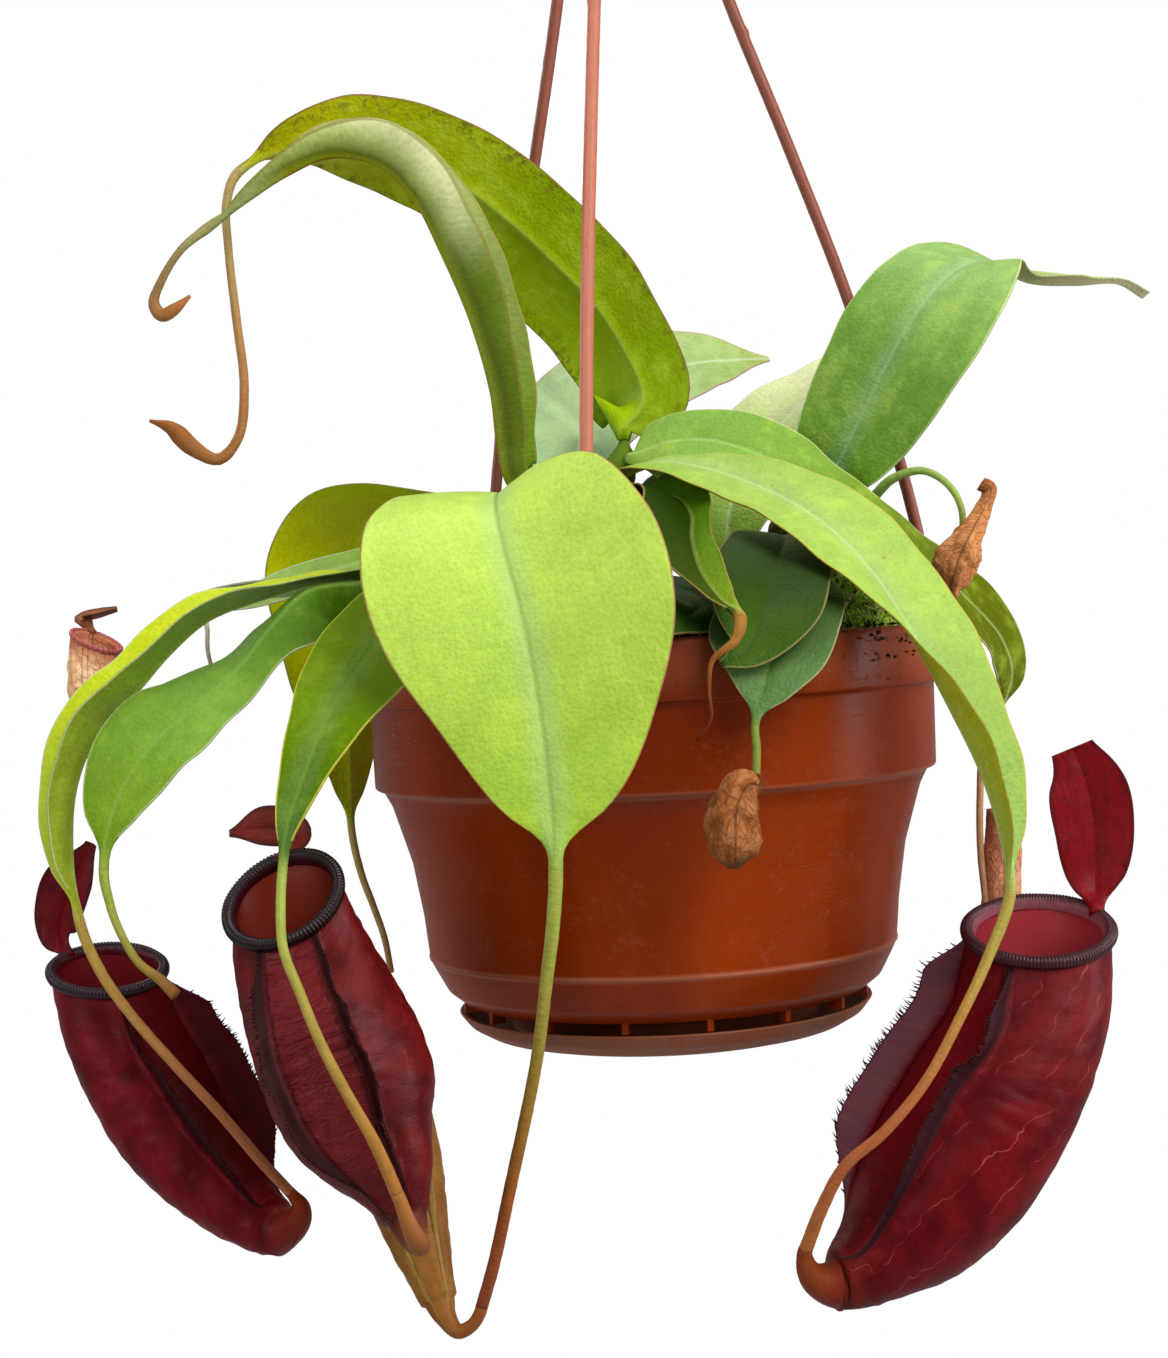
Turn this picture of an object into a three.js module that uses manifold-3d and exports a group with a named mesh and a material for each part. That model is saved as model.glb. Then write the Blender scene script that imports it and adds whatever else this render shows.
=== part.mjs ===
// A pitcher plant in a plastic hanging pot: pot, clip-on saucer, soil, three-strand hanger with its hook,
// two leafy stems, nineteen leaves that run out into tendrils, and the pitchers at the tendrils' ends.
// Sizes are millimetres. The pieces are placed from the middle of the pot's rim, +Z up, the front towards -Y.
// The finished model is lowered so that its origin is where the hook rests on what carries it.

import * as THREE from 'three';
import { mergeVertices } from 'three/addons/utils/BufferGeometryUtils.js';
import Module from 'manifold-3d';

const wasm = await Module();
wasm.setup();

// Driving sizes
const GAP = 0.3;
const POT_RADIUS = 70;
const POT_SIDES = 32;
const POT_FLOOR_TOP = -84;
const POT_UNDERSIDE = -86;
const FOOT_RING_BOTTOM = -92.6;
const DRAIN_HOLE_RADIUS = 4;
const DRAIN_HOLE_RING = 22;
const SAUCER_BOTTOM = -95.5;
const SAUCER_FLOOR = -93;
const SAUCER_RIM_TOP = -88.7;
const SOIL_CROWN = 9;
const STRAND_RADIUS = 1.5;
const STRAND_ANGLES = { front: -100, left: 126, right: 12 };
const HUB_BOTTOM = 232;
const HUB_RADIUS = 6.5;
const HUB_HEIGHT = 7;
const HOOK_WIRE_RADIUS = 2.3;
const HOOK_BEND_RADIUS = 13;
const HOOK_BEND_CENTRE_Z = 264;
const HOOK_SEAT_Z = HOOK_BEND_CENTRE_Z + HOOK_BEND_RADIUS - HOOK_WIRE_RADIUS;
const LEAF_HALF_THICKNESS = 0.45;
const PITCHER_WALL = 1.1;
const STEM_HOLE_BOTTOM = -16;

// Colours
const TERRACOTTA = { color: '#a5481f', roughness: 0.42, metalness: 0 };
const SAUCER_BROWN = { color: '#7a4a3a', roughness: 0.5, metalness: 0 };
const STRAND_RED = { color: '#b0553c', roughness: 0.45, metalness: 0 };
const SOIL_BROWN = { color: '#4a3a22', roughness: 1, metalness: 0 };
const STEM_GREEN = { color: '#6f7a35', roughness: 0.7, metalness: 0 };
const LEAF_BRIGHT = { color: '#9fc13c', roughness: 0.5, metalness: 0 };
const LEAF_OLIVE = { color: '#7f9212', roughness: 0.5, metalness: 0 };
const LEAF_MID = { color: '#7ba23a', roughness: 0.48, metalness: 0 };
const LEAF_DARK = { color: '#3f6412', roughness: 0.4, metalness: 0 };
const LEAF_PALE = { color: '#9db67c', roughness: 0.55, metalness: 0 };
const MAROON = { color: '#5a1018', roughness: 0.45, metalness: 0 };
const TAN_PITCHER = { color: '#9a6a2a', roughness: 0.6, metalness: 0 };
const DRY_PEACH = { color: '#d9a27c', roughness: 0.8, metalness: 0 };
const DRY_BROWN = { color: '#8a5233', roughness: 0.85, metalness: 0 };

const vector = ([x, y, z]) => new THREE.Vector3(x, y, z);
const degrees = THREE.MathUtils.degToRad;

// Solids

// A closed body with shared vertices, ready to be joined or cut.
function toSolid(geometry) {
  const plain = geometry.index ? geometry.clone() : geometry;
  plain.deleteAttribute('normal');
  plain.deleteAttribute('uv');
  const merged = mergeVertices(plain, 1e-4);
  const index = Array.from(merged.index.array);
  const triangles = [];
  for (let i = 0; i < index.length; i += 3) {
    const [a, b, c] = index.slice(i, i + 3);
    if (a !== b && b !== c && c !== a) {
      triangles.push(a, b, c);
    }
  }
  return new wasm.Manifold(new wasm.Mesh({
    numProp: 3,
    vertProperties: new Float32Array(merged.attributes.position.array),
    triVerts: new Uint32Array(triangles),
  }));
}

function toGeometry(solid) {
  const mesh = solid.getMesh();
  const geometry = new THREE.BufferGeometry();
  geometry.setAttribute('position', new THREE.BufferAttribute(mesh.vertProperties, 3));
  geometry.setIndex(new THREE.BufferAttribute(mesh.triVerts, 1));
  geometry.computeVertexNormals();
  return geometry;
}

// The volume inside a triangle list, negative where the faces point inwards.
function signedVolume(positions, triangles) {
  let sum = 0;
  const [a, b, c] = [new THREE.Vector3(), new THREE.Vector3(), new THREE.Vector3()];
  for (let i = 0; i < triangles.length; i += 3) {
    a.fromArray(positions, triangles[i] * 3);
    b.fromArray(positions, triangles[i + 1] * 3);
    c.fromArray(positions, triangles[i + 2] * 3);
    sum += a.dot(b.cross(c));
  }
  return sum / 6;
}

// A skin over rings of equal count, closed by a fan at each end. In a flat ring the second half runs back
// under the first, and its quads are split the same way as those above them.
function loft(rings, flat = false) {
  const count = rings[0].length;
  const positions = rings.flat().flatMap((point) => point.toArray());
  const triangles = [];
  for (let i = 0; i + 1 < rings.length; i += 1) {
    for (let j = 0; j < count; j += 1) {
      const a = i * count + j;
      const b = i * count + ((j + 1) % count);
      const c = b + count;
      const d = a + count;
      if (flat && j >= count / 2) {
        triangles.push(a, b, d, b, c, d);
      } else {
        triangles.push(a, b, c, a, c, d);
      }
    }
  }
  for (const [ring, start] of [[rings[0], 0], [rings.at(-1), (rings.length - 1) * count]]) {
    const middle = new THREE.Vector3();
    ring.forEach((point) => middle.addScaledVector(point, 1 / count));
    const centre = positions.length / 3;
    positions.push(...middle.toArray());
    for (let j = 0; j < count; j += 1) {
      const pair = [start + j, start + ((j + 1) % count)];
      triangles.push(centre, ...(start === 0 ? pair.reverse() : pair));
    }
  }
  if (signedVolume(positions, triangles) < 0) {
    triangles.reverse();
  }
  const geometry = new THREE.BufferGeometry();
  geometry.setAttribute('position', new THREE.Float32BufferAttribute(positions, 3));
  geometry.setIndex(triangles);
  return geometry;
}

// A smooth value that runs through a short list at even steps, read at t from 0 to 1.
function along(list, t) {
  const curve = new THREE.SplineCurve(list.map((value, i) => new THREE.Vector2(i, value)));
  return curve.getPoint(t).y;
}

function directionAlong(list, t) {
  return new THREE.Vector3(...[0, 1, 2].map((axis) => along(list.map((entry) => entry[axis]), t)));
}

// Evenly spaced points and directions on a stretch of a curve between two of its control points.
function stretch(curve, fromIndex, toIndex, steps) {
  const last = curve.points.length - 1;
  const fine = 160;
  const samples = [];
  let length = 0;
  for (let i = 0; i <= fine; i += 1) {
    const u = THREE.MathUtils.lerp(fromIndex, toIndex, i / fine) / last;
    const point = curve.getPoint(u);
    length += i > 0 ? point.distanceTo(samples.at(-1).point) : 0;
    samples.push({ u, point, length });
  }
  return Array.from({ length: steps + 1 }, (_, i) => {
    const target = (length * i) / steps;
    const sample = samples.find((entry) => entry.length >= target - 1e-9) ?? samples.at(-1);
    return { t: i / steps, centre: sample.point, tangent: curve.getTangent(sample.u) };
  });
}

function tube(points, radius, sides, steps) {
  const curve = new THREE.CatmullRomCurve3(points.map(vector), false, 'centripetal');
  const section = new THREE.Shape();
  for (let i = 0; i < sides; i += 1) {
    const angle = (2 * Math.PI * i) / sides;
    section[i === 0 ? 'moveTo' : 'lineTo'](radius * Math.cos(angle), radius * Math.sin(angle));
  }
  section.closePath();
  return new THREE.ExtrudeGeometry(section, { steps, extrudePath: curve, bevelEnabled: false });
}

function box(width, depth, height, x, y, z) {
  return new THREE.BoxGeometry(width, depth, height).translate(x, y, z);
}

// A leaf is one skin: a petiole, a thin folded blade, and a round tendril that goes on from its tip.
// Its rings have as many points above as below. roundness 0 lays them out as a blade, 1 as a round stalk.
const WIDE_COLUMNS = [-1, -0.5, 0, 0.5, 1];
const SMALL_COLUMNS = [-1, 0, 1];

function leafRing(columns, place, side, up, halfWidths, folds, roundness, radius) {
  const rows = [1, -1].map((level) => columns.map((column, j) => {
    const fold = degrees(column < 0 ? folds[0] : folds[1]);
    const sign = Math.sign(column);
    const reach = Math.abs(column) * (column < 0 ? halfWidths[0] : halfWidths[1]);
    const flat = new THREE.Vector3()
      .addScaledVector(side, sign * reach * Math.cos(fold))
      .addScaledVector(up, reach * Math.sin(fold));
    const normal = up.clone().multiplyScalar(sign === 0 ? 1 : Math.cos(fold));
    normal.addScaledVector(side, -sign * Math.sin(fold));
    flat.addScaledVector(normal, level * LEAF_HALF_THICKNESS);
    const angle = Math.PI * (1 - (j + 0.5) / columns.length);
    const round = new THREE.Vector3()
      .addScaledVector(side, radius * Math.cos(angle))
      .addScaledVector(up, level * radius * Math.sin(angle));
    return flat.lerp(round, roundness).add(place);
  }));
  return [...rows[0], ...rows[1].reverse()];
}

function leafGeometry(leaf) {
  const route = [...leaf.route, ...(leaf.tendril ?? [])].map(vector);
  const curve = new THREE.CatmullRomCurve3(route, false, 'centripetal');
  const tip = leaf.route.length - 1;
  const tendrilRadius = leaf.tendrilRadius ?? [1.1, 1.1];
  const petiole = leaf.petiole ?? 1.6;
  const columns = leaf.small ? SMALL_COLUMNS : WIDE_COLUMNS;
  let up = null;
  const rings = stretch(curve, 0, tip, leaf.steps ?? 14).map(({ t, centre, tangent }) => {
    up = directionAlong(leaf.face, t);
    up.addScaledVector(tangent, -up.dot(tangent)).normalize();
    const side = tangent.clone().cross(up).normalize();
    const folds = [along(leaf.left, t), along(leaf.right, t)];
    const atBase = 1 - THREE.MathUtils.smoothstep(t, 0, leaf.stalk ?? 0.15);
    const atTip = leaf.tendril ? THREE.MathUtils.smoothstep(t, 0.93, 1) : 0;
    const radius = atBase > 0 ? petiole : tendrilRadius[0];
    const halfWidths = [leaf.width, leaf.rightWidth ?? leaf.width].map((list) => Math.max(along(list, t), 0.5));
    return leafRing(columns, centre, side, up, halfWidths, folds, Math.max(atBase, atTip), radius);
  });
  if (leaf.tendril) {
    const stations = stretch(curve, tip, route.length - 1, leaf.tendrilSteps ?? 10).slice(1);
    for (const { t, centre, tangent } of stations) {
      up.addScaledVector(tangent, -up.dot(tangent)).normalize();
      const side = tangent.clone().cross(up).normalize();
      rings.push(leafRing(columns, centre, side, up, [1, 1], [0, 0], 1, along(tendrilRadius, t)));
    }
  }
  return loft(rings, true);
}

// Two points that carry on from a tendril's end, a gap away from it.
function beyondTendril(leaf) {
  const curve = new THREE.CatmullRomCurve3(leaf.tendril.map(vector), false, 'centripetal');
  const [end, tangent] = [curve.getPoint(1), curve.getTangent(1)];
  return [GAP, GAP + 1].map((reach) => end.clone().addScaledVector(tangent, reach).toArray());
}

// A pitcher is one skin too: tail, body, rolled rim, and the inner wall down to the bottom of the cup.
// Two thin wings run down its front. In every ring each wing has two root points and two points on its crest.
const WING_ANGLE = 34;
const WING_ROOT = 5;
const BODY_ANGLES = [0, 64, 96, 130, 164, 196, 230, 264, 296];

function ringAngles() {
  const wings = [-WING_ANGLE, WING_ANGLE].flatMap((angle) => [
    { angle: angle - WING_ROOT, crest: false },
    { angle: angle - 1.5, crest: true },
    { angle: angle + 1.5, crest: true },
    { angle: angle + WING_ROOT, crest: false },
  ]);
  const body = BODY_ANGLES.map((angle) => ({ angle, crest: false }));
  return [...wings, ...body].sort((a, b) => ((a.angle + 360) % 360) - ((b.angle + 360) % 360));
}

function pitcherRing(centre, normal, front, across, depth, wing) {
  const forward = front.clone().addScaledVector(normal, -front.dot(normal)).normalize();
  const side = normal.clone().cross(forward).normalize();
  return ringAngles().map(({ angle, crest }) => {
    const turn = degrees(angle);
    const point = centre.clone()
      .addScaledVector(forward, depth * Math.cos(turn))
      .addScaledVector(side, across * Math.sin(turn));
    const out = point.clone().sub(centre).normalize();
    return crest ? point.addScaledVector(out, wing) : point;
  });
}

function pitcherGeometry(pitcher) {
  const tail = [...beyondTendril(leaves[pitcher.hangsFrom]), ...pitcher.tail];
  const points = [...tail, ...pitcher.axis].map(vector);
  const curve = new THREE.CatmullRomCurve3(points, false, 'centripetal');
  const start = tail.length;
  const front = vector(pitcher.front).normalize();
  const mouth = vector(pitcher.mouth).normalize();
  const depth = pitcher.depth ?? 0.9;
  const rings = stretch(curve, 0, start, pitcher.tailSteps ?? 4).slice(0, -1).map(({ t, centre, tangent }) => {
    const radius = along(pitcher.tailRadius, t);
    return pitcherRing(centre, tangent, front, radius, radius, 0);
  });
  const stations = stretch(curve, start, points.length - 1, pitcher.steps ?? 10);
  const outer = stations.map(({ t, centre, tangent }) => {
    const normal = tangent.clone().lerp(mouth, THREE.MathUtils.smoothstep(t, 0.45, 1)).normalize();
    return { t, centre, normal, across: along(pitcher.width, t) };
  });
  for (const { t, centre, normal, across } of outer) {
    const wing = (pitcher.wing ?? 0) * THREE.MathUtils.smoothstep(t, 0.06, 0.3)
      * (1 - THREE.MathUtils.smoothstep(t, 0.9, 1));
    rings.push(pitcherRing(centre, normal, front, across, across * depth, wing));
  }
  const { centre, across } = outer.at(-1);
  const lip = pitcher.lip;
  const rolled = [[0.9, 0.4], [0.8, 1.3], [0, 1.8], [-0.9, 1.2], [-1.25, -0.2]];
  for (const [outwards, upwards] of rolled) {
    const middle = centre.clone().addScaledVector(mouth, upwards * lip);
    const radius = across + outwards * lip;
    rings.push(pitcherRing(middle, mouth, front, radius, radius - across * (1 - depth), 0));
  }
  const cup = outer.filter(({ t }, i) => t > (pitcher.cupBottom ?? 0.2) && t < 0.85 && i % 2 === 0).reverse();
  for (const station of cup) {
    const radius = station.across - PITCHER_WALL;
    rings.push(pitcherRing(station.centre, station.normal, front, radius, station.across * depth - PITCHER_WALL, 0));
  }
  const body = toSolid(loft(rings));
  if (!pitcher.lid) {
    return toGeometry(body);
  }
  const back = front.clone().addScaledVector(mouth, -front.dot(mouth)).normalize();
  const hinge = centre.clone()
    .addScaledVector(back, -(across * depth - 0.2 * lip))
    .addScaledVector(mouth, 0.8 * lip);
  const lid = { ...pitcher.lid, small: true, route: [hinge.toArray(), ...pitcher.lid.route] };
  return toGeometry(body.add(toSolid(leafGeometry(lid))));
}

// A withered pitcher has closed up: a plain shrunken bag on its tendril.
function witheredGeometry(bag) {
  const axis = [...beyondTendril(leaves[bag.hangsFrom]), ...bag.axis];
  const curve = new THREE.CatmullRomCurve3(axis.map(vector), false, 'centripetal');
  const front = new THREE.Vector3(0, -1, 0);
  const rings = stretch(curve, 0, axis.length - 1, bag.steps ?? 9).map(({ t, centre, tangent }, i) => {
    const forward = front.clone().addScaledVector(tangent, -front.dot(tangent)).normalize();
    const side = tangent.clone().cross(forward);
    return Array.from({ length: 8 }, (_, j) => {
      const crease = 1 + (bag.crease ?? 0.1) * Math.sin(3 * j + 1.7 * i);
      const radius = along(bag.width, t) * crease;
      const turn = (2 * Math.PI * j) / 8;
      return centre.clone()
        .addScaledVector(forward, radius * Math.cos(turn))
        .addScaledVector(side, radius * Math.sin(turn));
    });
  });
  return loft(rings);
}

// Pot and saucer

const potProfile = [
  [0, POT_UNDERSIDE], [32, POT_UNDERSIDE], [32, FOOT_RING_BOTTOM], [35, FOOT_RING_BOTTOM],
  [35, POT_UNDERSIDE], [48.8, POT_UNDERSIDE - 0.2], [52.8, -83], [55.7, -77.5], [56.5, -75.8],
  [57.1, -75.1], [56.8, -74.4], [57.7, -65], [59.8, -52], [64, -38], [66, -34.2], [67.9, -33.7],
  [68.2, -13.9], [POT_RADIUS, -13.5], [POT_RADIUS, -0.7], [69.3, 0], [68.2, 0], [66.6, -13],
  [66.2, -32], [60.5, -44], [57.8, -54], [55.3, -72], [53.3, -80], [49.3, POT_FLOOR_TOP], [0, POT_FLOOR_TOP],
];

const saucerProfile = [
  [0, SAUCER_BOTTOM], [38.5, SAUCER_BOTTOM], [43.6, -94.3], [48, -91.8], [50.4, SAUCER_RIM_TOP],
  [48.9, SAUCER_RIM_TOP], [46.6, -91.2], [43, SAUCER_FLOOR], [37.2, SAUCER_FLOOR],
  [37.2, POT_UNDERSIDE - 2.2], [35 + GAP, POT_UNDERSIDE - 2.2], [35 + GAP, SAUCER_FLOOR],
  [0, SAUCER_FLOOR],
];

function lathe(profile, sides) {
  return new THREE.LatheGeometry(profile.map(([r, z]) => new THREE.Vector2(r, z)), sides).rotateX(Math.PI / 2);
}

const SLOT_RIBS = 16;

function potGeometry() {
  let solid = toSolid(lathe(potProfile, POT_SIDES));
  for (let i = 0; i < 4; i += 1) {
    const angle = degrees(45 + 90 * i);
    const hole = new THREE.CylinderGeometry(DRAIN_HOLE_RADIUS, DRAIN_HOLE_RADIUS, 6, 10).rotateX(Math.PI / 2);
    hole.translate(DRAIN_HOLE_RING * Math.cos(angle), DRAIN_HOLE_RING * Math.sin(angle), POT_FLOOR_TOP - 1);
    solid = solid.subtract(toSolid(hole));
  }
  const ribHeight = POT_UNDERSIDE - SAUCER_RIM_TOP - GAP + 1;
  for (let i = 0; i < SLOT_RIBS; i += 1) {
    const rib = box(3.6, 1.4, ribHeight, 47.5, 0, SAUCER_RIM_TOP + GAP + ribHeight / 2);
    rib.rotateZ(degrees(-101 + (360 / SLOT_RIBS) * i));
    solid = solid.add(toSolid(rib));
  }
  return toGeometry(solid);
}

// Stems and soil

const MAIN_STEM = { base: [-15, 4, STEM_HOLE_BOTTOM + GAP], top: [-4, 2, 45], radius: 4 };
const SIDE_STEM = { base: [27, 10, STEM_HOLE_BOTTOM + GAP], top: [34, 6, 27], radius: 3.2 };

// A leaf's first two points: just off the stem at a height and a turn, then straight out from it.
function onStem(stem, z, turn) {
  const share = (z - stem.base[2]) / (stem.top[2] - stem.base[2]);
  const [x, y] = [0, 1].map((axis) => THREE.MathUtils.lerp(stem.base[axis], stem.top[axis], share));
  return [stem.radius + 1.5 * GAP, stem.radius + 2].map((reach) => (
    [x + reach * Math.cos(degrees(turn)), y + reach * Math.sin(degrees(turn)), z]
  ));
}

// A stem is round, a little thicker at each leaf base, and closes in a blunt growing tip.
function stemRings(stem, extra) {
  const [base, top] = [vector(stem.base), vector(stem.top)];
  const shape = [[0, 1], [0.5, 1], [0.97, 1], [1.02, 0.75], [1.05, 0.35]];
  return shape.map(([share, size]) => {
    const centre = base.clone().lerp(top, share);
    return Array.from({ length: 12 }, (_, j) => {
      const turn = (2 * Math.PI * j) / 12;
      const radius = (stem.radius + extra) * size;
      return centre.clone().add(new THREE.Vector3(radius * Math.cos(turn), radius * Math.sin(turn), 0));
    });
  });
}

function soilGeometry() {
  const profile = [
    [0, SOIL_CROWN], [30, SOIL_CROWN - 1], [50, 2.5], [66.7, -6], [66.2, -13], [65.8, -32],
    [60.1, -44], [57.4, -54], [54.9, -72], [52.9, -80], [49, POT_FLOOR_TOP + GAP], [0, POT_FLOOR_TOP + GAP],
  ].reverse();
  let solid = toSolid(lathe(profile, POT_SIDES));
  for (const stem of [MAIN_STEM, SIDE_STEM]) {
    const hole = { ...stem, base: [stem.base[0], stem.base[1], STEM_HOLE_BOTTOM] };
    solid = solid.subtract(toSolid(loft(stemRings(hole, GAP))));
  }
  return toGeometry(solid);
}

// Hanger

// How far a strand stands from the middle at each height: it bows out from the rim to the hub.
const STRAND_ROUTE = [[71.7, 1], [71, 14], [65, 43], [54.5, 80], [41, 118], [27.5, 154], [14, 196],
  [3.6, HUB_BOTTOM - GAP - 0.5]];

function strandGeometry(turn) {
  const points = STRAND_ROUTE.map(([reach, z]) => [reach, 0, z]);
  const cord = toSolid(tube(points, STRAND_RADIUS, 8, 14));
  // The clip straddles the rim: a bridge over the edge with a leg outside and a short one inside.
  const outline = [
    [73.4, -7], [73.4, 3.4], [65.2, 3.4], [65.2, -3.8], [66.9, -3.8], [66.9, GAP],
    [POT_RADIUS + GAP, GAP], [POT_RADIUS + GAP, -7],
  ];
  const clip = new THREE.ExtrudeGeometry(
    new THREE.Shape(outline.map(([r, z]) => new THREE.Vector2(r, z))),
    { depth: 6, bevelEnabled: false },
  );
  clip.translate(0, 0, -3).rotateX(Math.PI / 2);
  const geometry = toGeometry(cord.add(toSolid(clip)));
  return geometry.rotateZ(degrees(turn));
}

function hookGeometry() {
  const hub = new THREE.CylinderGeometry(HUB_RADIUS - 1.5, HUB_RADIUS, HUB_HEIGHT, 16).rotateX(Math.PI / 2);
  hub.translate(0, 0, HUB_BOTTOM + HUB_HEIGHT / 2);
  const points = [[0, 0, HUB_BOTTOM + 2], [2, 0, HUB_BOTTOM + 10], [10, 0, HOOK_BEND_CENTRE_Z - 12]];
  for (const angle of [-10, 25, 60, 90, 120, 155, 190]) {
    points.push([
      HOOK_BEND_RADIUS * Math.cos(degrees(angle)),
      0,
      HOOK_BEND_CENTRE_Z + HOOK_BEND_RADIUS * Math.sin(degrees(angle)),
    ]);
  }
  return toGeometry(toSolid(hub).add(toSolid(tube(points, HOOK_WIRE_RADIUS, 8, 26))));
}

// Leaves. A route runs from the stem to the leaf's tip. face is where the upper side looks, from base to tip.
// width is half the blade's width, and left and right are the fold of each half, in degrees, all at even steps.

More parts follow.
